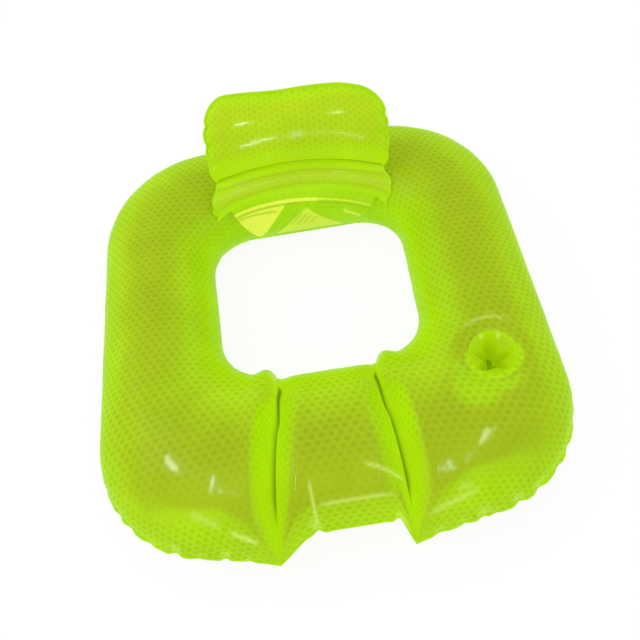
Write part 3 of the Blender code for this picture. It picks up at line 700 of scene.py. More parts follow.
class Section:
    """The tube's cross-section at a place along the stations, on one side (+1 right, -1 left).
    Angles run from 0 at the outermost point, over the top, to a half turn at the innermost, and
    are negative underneath."""

    def __init__(self, place, side):
        i = min(int(place), HALF - 1)
        self.side = side
        self.inner_at, self.outer_at, self.distance, self.rise = (
            lerp(a, b, place - i) for a, b in zip(STATIONS[i], STATIONS[i + 1])
        )
        inner = INNER.at(self.inner_at)
        outer = OUTER.at(self.outer_at)
        self.away = abs(self.outer_at - CREASE[1])
        run = TIP_RUN_OUTER
        if self.distance < 0:
            run = TIP_RUN_LEFT if side < 0 else TIP_RUN_RIGHT
            outer.y += (FRONT_WIDTH - CENTRE_WIDTH) * smooth(self.away / run)
        outer.y -= TIP_REACH * (1 - clamp01(self.away / run)) ** TIP_POWER
        sway = 1 - smooth((self.outer_at - CREASE[1]) / TIP_RUN_OUTER)
        outer.x -= side * FRONT_SWAY * sway
        beside = self.inner_at - CREASE[0]
        inner.x -= CREASE_DRAW * (1 - smooth(abs(beside) / DRAW_RUN))
        inner.y += INNER_BUMP * (1 - smooth(abs(beside - BUMP_BESIDE) / BUMP_RUN))
        self.reach = (outer - inner).length / 2
        across = (outer - inner).normalized()
        self.outward = Vector((side * across.x, across.y))
        middle = (inner + outer) / 2
        self.middle = Vector((side * middle.x, middle.y + SHIFT_Y, SEAM_HEIGHT))
        self.depth = SEAM_HEIGHT + FLOOR_PRESS
        self.weld = dome(abs(self.distance) / WALL_RUN)
        self.arcs = self.arc_table()

    def seam_share(self, angle):
        return (math.cos(OUTER_SEAM) - math.cos(angle)) / (
            math.cos(OUTER_SEAM) + math.cos(INNER_SEAM)
        )

    def passage(self, angle):
        """How far the air passes the crease here, near its inner end."""
        return smooth((self.seam_share(angle) - 1) / PASSAGE_RUN + 2) * PASSAGE_HEIGHT

    def heights(self, angle):
        """Height of the full tube and of the weld, from the seam's level."""
        z = (self.rise if math.sin(angle) > 0 else self.depth) * math.sin(angle)
        share = self.seam_share(angle)
        return z, -self.depth * lerp(math.sin(OUTER_SEAM), math.sin(INNER_SEAM), share)

    def bare(self, angle):
        """Point of the skin, smooth and taut."""
        z, weld_z = self.heights(angle)
        fill = self.weld + (1 - self.weld) * self.passage(angle)
        above = 1 if -OUTER_SEAM <= angle <= math.pi + INNER_SEAM else -1
        z = weld_z + (z - weld_z) * fill + above * LAYER * (1 - fill)
        plan = self.outward * self.reach * math.cos(angle)
        share = self.seam_share(angle)
        bow = CREASE_BOW * 4 * clamp01(share) * (1 - clamp01(share))
        bow -= BRIDGE_DRAW * ramp(share, *BRIDGE_START) * (1 - ramp(share, *BRIDGE_END))
        bow *= 1 - smooth(self.away / BOW_RUN)
        point = self.middle + Vector((plan.x + self.side * bow, plan.y, z))
        point.z = max(point.z, 0.0)
        return point

    def gather(self, angle):
        """Inward move of the skin where the outer seam gathers it into puckers."""
        from_seam = self.reach * abs(angle + OUTER_SEAM)
        depth = sum(
            pucker(self.outer_at, from_seam, *mark)
            for side, *mark in PUCKERS
            if side == self.side
        )
        return depth * smooth(self.weld * 3)

    def ridge(self, angle):
        """Flattening of the front face below the ridge that runs out from each crease's tip, and
        how strong the painted highlight along the ridge's own line is."""
        strength = clamp01(self.away / RIDGE_RUN) ** 0.5
        span, pale = RIDGE_SPAN * strength, 0.0
        if self.distance < 0:
            strength, span = CENTRE_RIDGE_STRENGTH, CENTRE_RIDGE_SPAN
            pale = RIDGE_PALE * ramp(self.away, RIDGE_PALE_FROM[self.side], RIDGE_PALE_RUN)
        strength *= (1 - ramp(self.outer_at, *RIDGE_END)) * smooth(self.weld * 3)
        top = math.acos(1 - span / self.reach)
        share = clamp01((angle + OUTER_SEAM) / max(top + OUTER_SEAM, LEAST_ANGLE))
        off = self.reach * (math.cos(angle) - math.cos(top)) / RIDGE_LINE
        return strength * 4 * share * (1 - share), pale * math.exp(-off * off)

    def flange_direction(self, seam):
        plan = self.outward * math.cos(seam)
        return Vector((plan.x, plan.y, math.sin(seam)))

    def arc_table(self):
        """Length of the full cross-section up to each of its steps."""
        arcs = [0.0]
        for step in range(ARC_LOW, ARC_HIGH):
            angle = math.radians((step + 0.5) * ARC_STEP)
            rise = self.rise if math.sin(angle) > 0 else self.depth
            speed = math.hypot(self.reach * math.sin(angle), rise * math.cos(angle))
            arcs.append(arcs[-1] + speed * math.radians(ARC_STEP))
        return arcs

    def arc(self, angle):
        place = math.degrees(angle) / ARC_STEP - ARC_LOW
        i = min(max(int(place), 0), len(self.arcs) - 2)
        return lerp(self.arcs[i], self.arcs[i + 1], place - i)

    def flat_place(self, angle):
        """Place on the film as it was before it was blown up, when it lay flat."""
        if -OUTER_SEAM <= angle:
            out = self.arc(math.pi / 2) - self.arc(angle)
        else:
            out = self.arc(angle) - self.arc(-math.pi / 2)
        place = self.middle.to_2d() + self.outward * out
        if abs(self.distance) < WALL_RUN:
            z, weld_z = self.heights(angle)
            extra = wall_extra(abs(self.distance) / WALL_RUN, abs(z - weld_z))
            place.x -= math.copysign(extra, self.distance) * self.side
        return gathered(place)


def gathered(place):
    """Place on the flat film, whose dots the air draws wider over the front and closer together
    along the arms and the back."""
    share = clamp01((place.y - GATHER_FROM) / GATHER_RUN)
    run = GATHER_RUN * (share**3 - share**4 / 2) + max(place.y - GATHER_FROM - GATHER_RUN, 0.0)
    wide = lerp(DOTS_WIDE_FRONT, DOTS_WIDE_BACK, smooth(share))
    run = place.y * DOTS_CLOSE_FRONT + run * (DOTS_CLOSE_BACK - DOTS_CLOSE_FRONT)
    return Vector((place.x * wide, run + DOTS_ARCH * (1 - 0.5 * share) * place.x**2))


def wall_extra(share, height):
    """How much longer a crease's round wall is than its run, from its top down to a share."""
    end = math.asin(1 - clamp01(share))
    length = 0.0
    for step in range(WALL_STEPS):
        angle = end * (step + 0.5) / WALL_STEPS
        run, rise = WALL_RUN * math.cos(angle), height * math.sin(angle)
        length += math.hypot(run, rise) * end / WALL_STEPS
    return length - WALL_RUN * (1 - clamp01(share))


def pucker(outer_at, from_seam, place, depth, half_width, run, lean):
    """Depth of one pucker: a groove with a low swelling on both sides, fading up the film."""
    along = from_seam / run
    width = PUCKER_WIDEN * half_width * (1 + clamp01(along))
    across = (outer_at - place - lean * from_seam) / width
    if abs(across) > PUCKER_REACH or along >= 1:
        return 0.0
    groove = depth * (1 - smooth(along)) * (1 - PUCKER_SWELL * across * across)
    return groove * math.exp(-across * across)


def film_waves(point, size, height):
    """Soft uneven tension of inflated film."""
    finer = noise.noise(point / size * WAVE_DETAIL + UP)
    return height * (noise.noise(point / size) + finer / 2)


@lru_cache(maxsize=None)
def section_at(place, side):
    return Section(place, side)


def ring_normal(place, side, angle):
    """Direction out of the ring's skin."""
    step = math.radians(1)
    section = section_at(place, side)
    point = section.bare(angle)
    if place + step > HALF:
        along = Vector((1, 0, 0))
    else:
        along = Section(place + step, side).bare(angle) - point
    normal = along.cross(section.bare(angle + step) - point).normalized()
    return normal if normal.dot(point - section.middle) > 0 else -normal


def pressed(point, pad):
    """Point of a skin after it is flattened to a pad's plane, easing off round the pad."""
    centre, normal, radius, run = pad
    away = point - centre
    height = away.dot(normal)
    if abs(height) > radius + run:
        return point
    flat = (away - normal * height).length
    return point - normal * height * (1 - smooth((flat - radius) / run))


def grid(columns, rows):
    """Flat grid whose corners lie at whole column and row numbers."""
    bm = bmesh.new()
    bmesh.ops.create_grid(bm, x_segments=columns, y_segments=rows, size=1.0)
    for vertex in bm.verts:
        vertex.co.x = round((vertex.co.x + 1) / 2 * columns)
        vertex.co.y = round((vertex.co.y + 1) / 2 * rows)
        vertex.co.z = 0
    return bm


def place_reaching(x, angle):
    """Place along the back stations at which the ring's skin reaches a distance x to one side."""
    return turning_point(
        HALF / 2, float(HALF), lambda place: skin_x(place, angle) > abs(x), PLACE_STEPS
    )


def skin_x(place, angle):
    """How far to the right the skin lies at a place of the back stations."""
    i = min(int(place), HALF - 1)
    near, far = (
        section.middle.x + section.outward.x * section.reach * math.cos(angle)
        for section in (section_at(i, 1), section_at(i + 1, 1))
    )
    return lerp(near, far, place - i)


CUP_X = OPENING_HALF_WIDTH + ARM_WIDTH_FRONT / 2 - CUP_INWARD
CUP_Y = SHIFT_Y - OPENING_FRONT - CUP_FORWARD
CUP_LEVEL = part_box("cup_well_sleeve")[1].z + 2 * FILM
CUP_CENTRE = Vector((CUP_X, CUP_Y, CUP_LEVEL))
CUP_PAD = (CUP_CENTRE, UP, CUP_MOUTH + CUP_SEAT_RUN, CUP_SHOULDER_RUN)


def ring_valve_pad():
    place = place_reaching(RING_VALVE_X, RING_VALVE_ANGLE)
    side = math.copysign(1, RING_VALVE_X)
    centre = section_at(place, side).bare(RING_VALVE_ANGLE)
    normal = ring_normal(place, side, RING_VALVE_ANGLE)
    return centre, normal, VALVE_BASE + GAP, VALVE_PAD_RUN


RING_PAD = ring_valve_pad()


# Films


def mark_uv(bm, places):
    """Give each corner its place on the flat film, in metres."""
    layer = bm.loops.layers.uv.new(UV_NAME)
    for face in bm.faces:
        for loop in face.loops:
            loop[layer].uv = places[loop.vert]


def mark_film(bm, axis, marks):
    """Give each point its slope away from an axis or the least slope that its marks say, which
    picks its painted shading by slope, how far it lies in a weld or painted shade (above 0) or
    under a painted highlight (below 0), how far its dots show, and how much painted glow it has,
    standing in for light that comes through it."""
    # A new layer cuts the marks' hold on the points, so they are put in order before it is made
    given = [marks.get(vertex, (0.0, 0.0, 1.0, 0.0)) for vertex in bm.verts]
    layer = bm.verts.layers.float_color.new(MASK_NAME)
    bm.normal_update()
    for vertex, (slope, *others) in zip(bm.verts, given):
        if axis:
            slope = max(slope, 1 - max(0.0, vertex.normal.dot(axis)))
        vertex[layer] = (slope, *others)


def refine(bm, spread, centre, radii):
    """Halve the cells near a centre, widest radius first."""
    for radius in radii:
        near = [
            edge
            for edge in bm.edges
            if (spread((edge.verts[0].co + edge.verts[1].co) / 2) - centre).length < radius
        ]
        bmesh.ops.subdivide_edges(bm, edges=near, cuts=1, use_grid_fill=True)


def cut_round(bm, centre, normal, radius):
    """Open a round hole in a flat part of a film."""

    def reach(point):
        away = point - centre
        return away - normal * away.dot(normal), abs(away.dot(normal))

    inside = []
    for face in bm.faces:
        flat, height = reach(face.calc_center_median())
        if flat.length < radius and height < radius / 2:
            inside.append(face)
    bmesh.ops.delete(bm, geom=inside, context="FACES")
    for vertex in bm.verts:
        flat, height = reach(vertex.co)
        if vertex.is_boundary and flat.length < radius * HOLE_EASE and height < radius / 2:
            vertex.co += flat.normalized() * (radius - flat.length)


def face_outwards(bm, outside):
    """Turn a film's faces so that the one nearest an outside point faces it."""
    bmesh.ops.recalc_face_normals(bm, faces=bm.faces)
    nearest = min(bm.faces, key=lambda face: (face.calc_center_median() - outside).length)
    if nearest.normal.dot(outside - nearest.calc_center_median()) < 0:
        bmesh.ops.reverse_faces(bm, faces=bm.faces)


def new_piece(name, bm, material, body, replaced):
    """Show a mesh as a piece that moves with a body and stands for CAD nodes."""
    mesh = bpy.data.meshes.new(name)
    bm.to_mesh(mesh)
    bm.free()
    piece = bpy.data.objects.new(name, mesh)
    bpy.context.scene.collection.objects.link(piece)
    mesh.materials.append(material)
    mesh.shade_smooth()
    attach(piece, body)
    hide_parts(*replaced)
    return piece


def thicken(piece):
    """Give a film its thickness, on the inner side."""
    film = piece.modifiers.new("film", "SOLIDIFY")
    film.thickness = FILM
    film.offset = -1
    return piece


# Ring


def ring_film(bm, start, end, rows, pads, shape):
    """Move a flat grid to the ring's skin between two angles, and say where each point lies on
    the flat film, how far it lies in a weld, and its painted shade, light, highlights and glow."""
    uvs, marks = {}, {}
    for vertex in bm.verts:
        column, row = vertex.co.x, vertex.co.y
        section = section_at(abs(column - HALF), -1 if column < HALF else 1)
        angle = lerp(start, end, clamp01((row - FLANGE_ROWS) / rows))
        beyond = max(FLANGE_ROWS - row, row - FLANGE_ROWS - rows, 0.0) / FLANGE_ROWS
        bare = section.bare(angle)
        gather = section.gather(angle) * shape.pucker
        facet, crest = section.ridge(angle) if angle > 0 else (0.0, 0.0)
        inward = (section.middle - bare).normalized()
        point = bare + inward * (gather + facet * shape.ridge)
        if beyond:
            direction = section.flange_direction(start if row < FLANGE_ROWS else end)
            ripple = math.sin(section.outer_at * RIPPLES + section.side) * FLANGE_RIPPLE
            point += (direction * FLANGE_WIDTH + UP * ripple) * beyond
            point.z = max(point.z, 0.0)
        else:
            free = smooth(bare.z / SEAM_HEIGHT * 2)
            waves = film_waves(bare, WAVE_SIZE, shape.wave_height * free)
            height, pale = fold(point)
            # Painted highlights along the ridge's line, the tension folds and the puckers
            crest = max(crest, pale, PLEAT_PALE * clamp01(gather / PLEAT_DEEP))
            point += (bare - section.middle).normalized() * (waves + height)
        for pad in pads:
            point = pressed(point, pad)
        uvs[vertex] = section.flat_place(angle)
        marks[vertex] = ring_mark(section, angle, beyond, point, facet, crest, gather)
        vertex.co = point
    mark_uv(bm, uvs)
    bmesh.ops.remove_doubles(bm, verts=bm.verts, dist=MERGE)
    return marks


def ring_mark(section, angle, beyond, point, facet, crest, gather):
    """What mark_film needs to know of a point of the ring's film: its weld and painted shade,
    painted light, painted highlights and painted glow.
    """
    share = section.seam_share(angle)
    # Dark weld line, spread up the crease's walls as painted shade
    weld = (1 - smooth(section.weld / WELD_SHADE)) * ramp(share, *WELD_START)
    weld *= 1 - ramp(share, *WELD_END)
    # Painted glow along the crease, towards the hole, along the outer edge and the flange, and on
    # the cup well's near rim
    through = bell(section.distance, 0, GLOW_RUN)
    round_degrees = math.degrees(abs(angle))
    hole = ramp(round_degrees, *HOLE_SIDE)
    edge = 1 - ramp(round_degrees, *EDGE_SIDE)
    taut = bell(point.y, *TAUT_BAND) * ramp(point.z, *TAUT_HEIGHT)
    dots = (1 - smooth(beyond)) * (1 - weld) * (1 - CREASE_DOTS * through)
    dots *= (1 - TAUT_DOTS * taut) * (1 - HOLE_DOTS * hole)
    patch, rim, arcs = round_cup(point)
    flange = beyond > 0
    # Painted light: front facets, puckers, the flange, the patch in front of the cup and its near
    # rim are drawn as brighter steep film
    pleat = PLEAT_SLOPE * clamp01(gather / PLEAT_DEEP)
    steep = max(FACET_SLOPE * facet, pleat, flange, CUP_PATCH_SLOPE * patch, RIM_SLOPE * rim)
    through = max(
        through, HOLE_GLOW * hole, EDGE_GLOW * edge, RIM_GLOW * rim, EDGE_GLOW * flange
    )
    # Weld and painted shade above 0, painted highlights below 0
    return steep, weld - max(crest, ARC_TONE * arcs), dots, through


def round_cup(point):
    """How far a point lies in the painted bright patch in front of the cup well, on the near side
    of its rim, which is painted bright, and on the two painted highlight arcs behind it."""
    off = point.to_2d() - Vector((CUP_X, CUP_Y))
    if point.z < SEAM_HEIGHT or off.length > CUP_NEAR:
        return 0.0, 0.0, 0.0
    x, width, y, length = CUP_PATCH
    patch = math.exp(-(((off.x - x) / width) ** 2) - ((off.y - y) / length) ** 2)
    rim = (1 - ramp(off.length, CUP_MOUTH, RIM_GLOW_RUN)) * smooth(0.5 - off.y / RIM_FRONT_RUN)
    behind = ramp(off.y / max(off.length, MERGE), *BEHIND_CUP)
    lip = LIP_TONE * (1 - smooth(abs(off.length - CUP_MOUTH - LIP_AT) / LIP_RUN))
    return patch, rim, behind * max(lip, bell(off.length, *ARC))


def fold(point):
    """Height of the tension folds on the ring's front, and how strong their painted highlights
    are.
    """
    height, pale = 0.0, 0.0
    if point.z > SEAM_HEIGHT and point.y < FOLDS_BEFORE:
        for *line, half_width, high, crest in FOLDS:
            off, along = side_of(line, point.x, point.y)
            shown = bell(off, 0, half_width) * fading(along, FOLDS_FADE)
            height += high * shown
            pale += crest * shown
    return height, pale


def ring_spread(start, end, rows):
    """Place on the bare ring of a point of the flat grid."""

    def spread(co):
        side = -1 if co.x < HALF else 1
        angle = lerp(start, end, clamp01((co.y - FLANGE_ROWS) / rows))
        return section_at(abs(co.x - HALF), side).bare(angle)

    return spread


def build_ring(shape, materials):
    """Top film with the cup well's hole, and bottom film with the valve's."""
    top_fine = ((CUP_CENTRE, CUP_FINE), *FINE_PLACES)
    bottom_fine = ((RING_PAD[0], RING_VALVE_FINE),)
    outside = (OPENING_HALF_WIDTH + ARM_WIDTH_FRONT / 2, SHIFT_Y)
    for part, above, rows, fine, pad, hole, level, axis in (
        ("top", 1, TOP_ROWS, top_fine, CUP_PAD, CUP_MOUTH, SEAM_HEIGHT + 2 * ARM_RISE, FACING),
        ("bottom", -1, BOTTOM_ROWS, bottom_fine, RING_PAD, VALVE_HOLE, -SEAM_HEIGHT, -UP),
    ):
        start = -OUTER_SEAM + above * INSET
        end = above * math.pi + INNER_SEAM - above * INSET
        bm = grid(2 * HALF, rows + 2 * FLANGE_ROWS)
        for centre, radii in fine:
            refine(bm, ring_spread(start, end, rows), Vector(centre), radii)
        marks = ring_film(bm, start, end, rows, (pad,), shape)
        cut_round(bm, pad[0], pad[1], hole)
        for vertex in bm.verts:
            vertex.co.z -= rim_drop((vertex.co - CUP_CENTRE).to_2d().length, vertex.co.z)
        face_outwards(bm, Vector((*outside, level)))
        mark_film(bm, axis, marks)
        node = f"ring_{part}_sheet"
        piece = new_piece(
            f"ring_{part}_film", bm, materials["ring"], "ring", [node]
        )
        thicken(piece)


def rim_drop(reach, z):
    """How far the film turns down where it meets the cup well's mouth."""
    if abs(z - CUP_LEVEL) > CUP_DIMPLE or reach > CUP_MOUTH + RIM_RUN:
        return 0.0
    return RIM_DROP * (1 - (reach - CUP_MOUTH) / RIM_RUN) ** 2


# Cup well


def sleeve_lobe(turn, shape):
    """1 in the middle of a lobe of the sleeve and 0 in the soft fold between two."""
    unevenness, phase = CUP_LOBE_UNEVEN
    uneven = turn + unevenness * math.sin(2 * turn + phase)
    return (1 - math.cos(shape.cup_lobes * (uneven - CUP_LOBE_TURN))) / 2


def sleeve_reach(depth_share, turn, shape):
    """Radius of the empty sleeve, whose wall the air presses inwards between its pleats."""
    end = lerp(CUP_MOUTH, CUP_BASE, depth_share)
    down = depth_share / CUP_NECK_SHARE
    if down < 1:
        squeeze = smooth(down) ** CUP_SQUEEZE_POWER
    else:
        squeeze = 1 - ((down - 1) / (1 / CUP_NECK_SHARE - 1)) ** 2
    uneven = 1.0
    for high, count, phase in CUP_BULGE_UNEVEN:
        uneven += high * math.sin(turn * count + phase)
    pleat = end - (end - CUP_PLEAT_REACH) * squeeze
    from_mouth, from_base = CUP_BULGE_FADES
    swell = smooth(depth_share * from_mouth) * smooth((1 - depth_share) * from_base)
    lobe = sleeve_lobe(turn, shape) ** CUP_SQUEEZE_POWER
    return pleat - shape.cup_bulge * swell * uneven * lobe


def build_cup_well(shape, materials):
    level = CUP_LEVEL - 2 * FILM
    base_level = level - CUP_DEPTH
    bm = grid(CUP_TURNS, CUP_ROWS + 2 * FLANGE_ROWS)
    uvs, marks = {}, {}
    for vertex in bm.verts:
        turn = 2 * math.pi * vertex.co.x / CUP_TURNS
        row = vertex.co.y - FLANGE_ROWS
        share = clamp01(row / CUP_ROWS)
        if row < 0:
            reach = CUP_MOUTH - row * (CUP_SEAT_RUN - 2 * FILM) / FLANGE_ROWS
            height = level - rim_drop(reach, CUP_LEVEL)
        elif row > CUP_ROWS:
            reach = CUP_BASE - FLANGE_WIDTH * (row - CUP_ROWS) / FLANGE_ROWS
            height = base_level
        else:
            reach = sleeve_reach(share, turn, shape)
            height = lerp(level - RIM_DROP, base_level, share)
        uvs[vertex] = (turn * CUP_MOUTH, -share * CUP_DEPTH)
        # Painted shade in the soft folds and deeper down the well, and painted highlights on two
        # lobes near the top
        pleat = (1 - sleeve_lobe(turn, shape)) ** 3 * math.sin(math.pi * share)
        deep = smooth(2 * share)
        pale_at, pale_run = CUP_PALE_AT
        pale = sum(
            math.exp(
                -(((turn - at) * CUP_MOUTH / CUP_PALE_WIDTH) ** 2)
                - ((share - pale_at) / pale_run) ** 2
            )
            for at in CUP_PALE
        )
        weld = max(CUP_PLEAT_TONE * pleat, CUP_DEEP_TONE * deep) - CUP_PALE_TONE * pale
        # Painted glow, less deeper down
        marks[vertex] = (0.0, weld, 1.0, CUP_GLOW - CUP_DEEP_GLOW * deep)
        flat = turned(Vector((0, 0)), reach, turn)
        vertex.co = Vector((CUP_X + flat.x, CUP_Y + flat.y, height))
    mark_uv(bm, uvs)
    bmesh.ops.remove_doubles(bm, verts=bm.verts, dist=MERGE)
    face_outwards(bm, CUP_CENTRE + UP * CUP_DEPTH)
    mark_film(bm, UP, marks)
    sleeve = new_piece(
        "cup_sleeve", bm, materials["cup"], "ring", ["cup_well_sleeve"]
    )
    thicken(sleeve)
    bm = bmesh.new()
    bmesh.ops.create_circle(
        bm,
        cap_ends=True,
        cap_tris=False,
        segments=CUP_TURNS,
        radius=CUP_BASE,
        matrix=Matrix.Translation((CUP_X, CUP_Y, base_level - 2 * FILM)),
    )
    for _ in range(CUP_BASE_RINGS):
        middle = [face for face in bm.faces if len(face.verts) > 4]
        bmesh.ops.inset_region(bm, faces=middle, thickness=CUP_BASE / (CUP_BASE_RINGS + 2))
    face_outwards(bm, CUP_CENTRE + UP * CUP_DEPTH)
    mark_uv(bm, {vertex: vertex.co.to_2d() for vertex in bm.verts})
    mark_film(bm, UP, {})
    disc = new_piece("cup_base", bm, materials["cup"], "ring", ["cup_well_base"])
    thicken(disc)


# Headrest

LEAN_UP = Vector((0, math.cos(LEAN), math.sin(LEAN)))
LEAN_FRONT = Vector((0, -LEAN_UP.z, LEAN_UP.y))
HEADREST_FOOT = (
    section_at(HALF, 1).bare(LEAVE)
    + ring_normal(HALF, 1, LEAVE) * STAND_OFF
    + Vector((HEADREST_OFFSET, 0, 0))
)
WAIST = ROLL_LENGTH + WELD_LAND
PILLOW_TOP = WAIST + LOBE_LENGTH


def pillow_half_width(rise):
    if rise < WAIST:
        swell = ROLL_SWELL * math.sin(math.pi * clamp01(rise / ROLL_LENGTH))
        return lerp(ROLL_HALF_WIDTH, NECK_HALF_WIDTH, smooth(rise / ROLL_LENGTH)) + swell
    foot = dome((rise - WAIST) / LOBE_FOOT_ROUND)
    head = 1 - dome((PILLOW_TOP - rise) / LOBE_TOP_ROUND)
    return lerp(NECK_HALF_WIDTH, LOBE_HALF_WIDTH, foot) - LOBE_TOP_INSET * head


def pillow_depth(across_share, rise):
    """Half the pillow's thickness, as an inflated roll and lobe with a weld between them."""
    if rise < ROLL_LENGTH:
        share, deepest = rise / ROLL_LENGTH, ROLL_HALF_DEPTH
    else:
        share, deepest = (rise - WAIST) / LOBE_LENGTH, LOBE_HALF_DEPTH
    up_power, across_power = PILLOW_POWERS
    round_up = math.sqrt(max(0.0, 1 - abs(2 * clamp01(share) - 1) ** up_power))
    round_across = math.sqrt(max(0.0, 1 - abs(across_share) ** across_power))
    return deepest * round_up * round_across


def pillow_point(x, rise, forward):
    """Point in the pillow's bowed, arched and tilted plane, to the right, up and forward."""
    share = clamp01(rise / PILLOW_TOP)
    waist_share = WAIST / PILLOW_TOP
    if share < waist_share:
        arch = lerp(ARCH_FOOT, ARCH_WAIST, share / waist_share)
    else:
        arch = lerp(ARCH_WAIST, ARCH_TOP, (share - waist_share) / (1 - waist_share))
    bend = (x / LOBE_HALF_WIDTH) ** 2
    dip_at, dip_run, dip = TOP_DIP
    rise -= dip * bell(x, dip_at, dip_run) * share**3
    droop_from, droop_run, droop = CORNER_DROOP
    rise -= droop * ramp(x, droop_from, droop_run) * share**3
    ear = smooth((abs(x) - ROLL_HALF_WIDTH + EAR_RUN) / EAR_RUN) ** 2
    rise -= arch * bend + EAR_DROOP * ear * (1 - smooth(rise / ROLL_LENGTH))
    forward += BOW * bend
    right = x * math.cos(SKEW) + rise * math.sin(SKEW)
    up = rise * math.cos(SKEW) - x * math.sin(SKEW)
    return HEADREST_FOOT + Vector((right, 0, 0)) + LEAN_UP * up + LEAN_FRONT * forward


def rises(start, length, rows):
    """Heights closer together towards both ends of a roll or lobe."""
    return [start + length * (1 - math.cos(math.pi * i / rows)) / 2 for i in range(rows + 1)]


PILLOW_RISES = (
    [-FLANGE_WIDTH, -FLANGE_WIDTH / 2]
    + rises(0.0, ROLL_LENGTH, ROLL_ROWS)
    + [ROLL_LENGTH + WELD_LAND / 2]
    + rises(WAIST, LOBE_LENGTH, LOBE_ROWS)
    + [PILLOW_TOP + FLANGE_WIDTH / 2, PILLOW_TOP + FLANGE_WIDTH]
)


def column_across(column):
    """Share of the pillow's half width at one of its columns, closer together near its sides."""
    return math.sin(math.pi * (clamp01(column / PILLOW_COLUMNS) - 0.5))


def pillow_tucks(across, rise, half):
    """Slack that the round sides gather into tucks: depth of the skin's inward move."""
    to_side = (1 - abs(across)) * half
    side = -1 if across < 0 else 1
    return sum(
        deep * (1 - smooth(to_side / run)) * bell(rise, at, width)
        for tuck_side, at, deep, width, run in PILLOW_TUCKS
        if tuck_side == side and to_side < run
    )


def pillow_notch(across, rise):
    """How far a side seam is drawn in where it gathers the film."""
    side = -1 if across < 0 else 1
    drawn = sum(
        deep * bell(rise, at, width)
        for tuck_side, at, deep, width, _ in PILLOW_TUCKS
        if tuck_side == side
    )
    return side * drawn * abs(across) ** PILLOW_NOTCH_POWER


def roll_line(rise):
    """How dark as painted shade (above 0) or pale as a painted highlight (below 0) the fine lines
    along the roll are.
    """
    return sum(tone * bell(rise / ROLL_LENGTH, at, width) for at, width, tone in ROLL_LINES)


def pillow_place(co, face):
    """Where a corner of a pillow film's grid lies, on the front (+1) or the back (-1)."""
    i = min(int(co.y), len(PILLOW_RISES) - 2)
    rise = lerp(PILLOW_RISES[i], PILLOW_RISES[i + 1], co.y - i)
    across = column_across(co.x - FLANGE_ROWS)
    beyond = max(FLANGE_ROWS - co.x, co.x - FLANGE_ROWS - PILLOW_COLUMNS, 0.0) / FLANGE_ROWS
    held = min(max(rise, 0.0), PILLOW_TOP)
    half = pillow_half_width(held)
    above = pillow_half_width(min(held + STEP, PILLOW_TOP))
    slope = (pillow_half_width(held - STEP) - above) / STEP
    out = Vector((1, slope / 2)).normalized() * FLANGE_WIDTH * beyond
    x = across * half + math.copysign(out.x, across) - pillow_notch(across, held)
    depth = pillow_depth(across, rise) if 0 <= rise <= PILLOW_TOP and not beyond else 0.0
    if face:
        drawn = pillow_tucks(across, rise, half) + ROLL_LINE_DEPTH * roll_line(rise)
        depth -= min(depth * PILLOW_TUCK_MOST, drawn)
    return pillow_point(x, rise + out.y, face * (LAYER + depth)), across, rise, beyond


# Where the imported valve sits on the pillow's back, and the way it faces
HEADREST_VALVE_PLACE = Vector((-0.08699, 0.40057, 0.30555))
HEADREST_VALVE_FACING = Vector((-0.26212, 0.86587, -0.42610)).normalized()
HEADREST_PAD = (
    HEADREST_VALVE_PLACE,
    HEADREST_VALVE_FACING,
    VALVE_BASE + FILM,
    VALVE_PAD_RUN,
)


def ring_skin():
    """Search tree of the ring's top film."""
    bm = bmesh.new()
    bm.from_mesh(bpy.data.objects["ring_top_film"].data)
    tree = BVHTree.FromBMesh(bm)
    bm.free()
    return tree


def kept_off(point, tree, clearance):
    """Point moved out of a skin until it clears it."""
    hit, normal = tree.find_nearest(point)[:2]
    if (point - hit).dot(normal) < clearance:
        return hit + normal * clearance
    return point


def pillow_shift(middle, tree):
    """How far a point of the pillow's middle plane is pushed forward by the ring behind it."""
    return kept_off(middle, tree, CLEARANCE + 2 * CAD_LAYER) - middle


def build_pillow(shape, materials):
    tree = ring_skin()
    for name, face, node in (
        ("headrest_front_film", 1, "headrest_front_sheet"),
        ("headrest_back_film", -1, "headrest_back_sheet"),
    ):
        bm = grid(PILLOW_COLUMNS + 2 * FLANGE_ROWS, len(PILLOW_RISES) - 1)
        if face < 0:
            valve = HEADREST_PAD[0]
            refine(bm, lambda co: pillow_place(co, -1)[0], valve, HEADREST_VALVE_FINE)
        uvs, marks = {}, {}
        for vertex in bm.verts:
            point, across, rise, beyond = pillow_place(vertex.co, face)
            point += pillow_shift(pillow_place(vertex.co, 0)[0], tree)
            if face < 0:
                point = pressed(kept_off(point, tree, CLEARANCE), HEADREST_PAD)
            half = pillow_half_width(min(max(rise, 0.0), PILLOW_TOP))
            stretch = 1 + PILLOW_STRETCH * abs(across) ** 2
            uvs[vertex] = (rise + pillow_bow(rise), across * half * stretch * DOTS_CLOSE_PILLOW)
            # Dark line of the waist's weld, partly painted shade of its crease
            weld = bell(rise - ROLL_LENGTH, WELD_LAND / 2, WAIST_SHADE)
            marks[vertex] = pillow_mark(rise, beyond, weld)
            waves = film_waves(point, PILLOW_WAVE_SIZE, shape.wave_height)
            waved = LEAN_FRONT * face * waves * (1 - beyond) * (1 - weld) * PILLOW_WAVE_SHARE
            vertex.co = point + waved
        mark_uv(bm, uvs)
        bmesh.ops.remove_doubles(bm, verts=bm.verts, dist=MERGE)
        if face < 0:
            cut_round(bm, HEADREST_PAD[0], HEADREST_PAD[1], VALVE_HOLE)
        face_outwards(bm, pillow_point(0, PILLOW_TOP / 2, face * 2 * LOBE_HALF_DEPTH))
        # Painted shading by slope away from the pillow's front, leaned a little up
        mark_film(bm, (LEAN_FRONT * face + UP * PILLOW_FACING_UP).normalized(), marks)
        piece = new_piece(name, bm, materials["headrest"], "headrest", [node])
        thicken(piece)


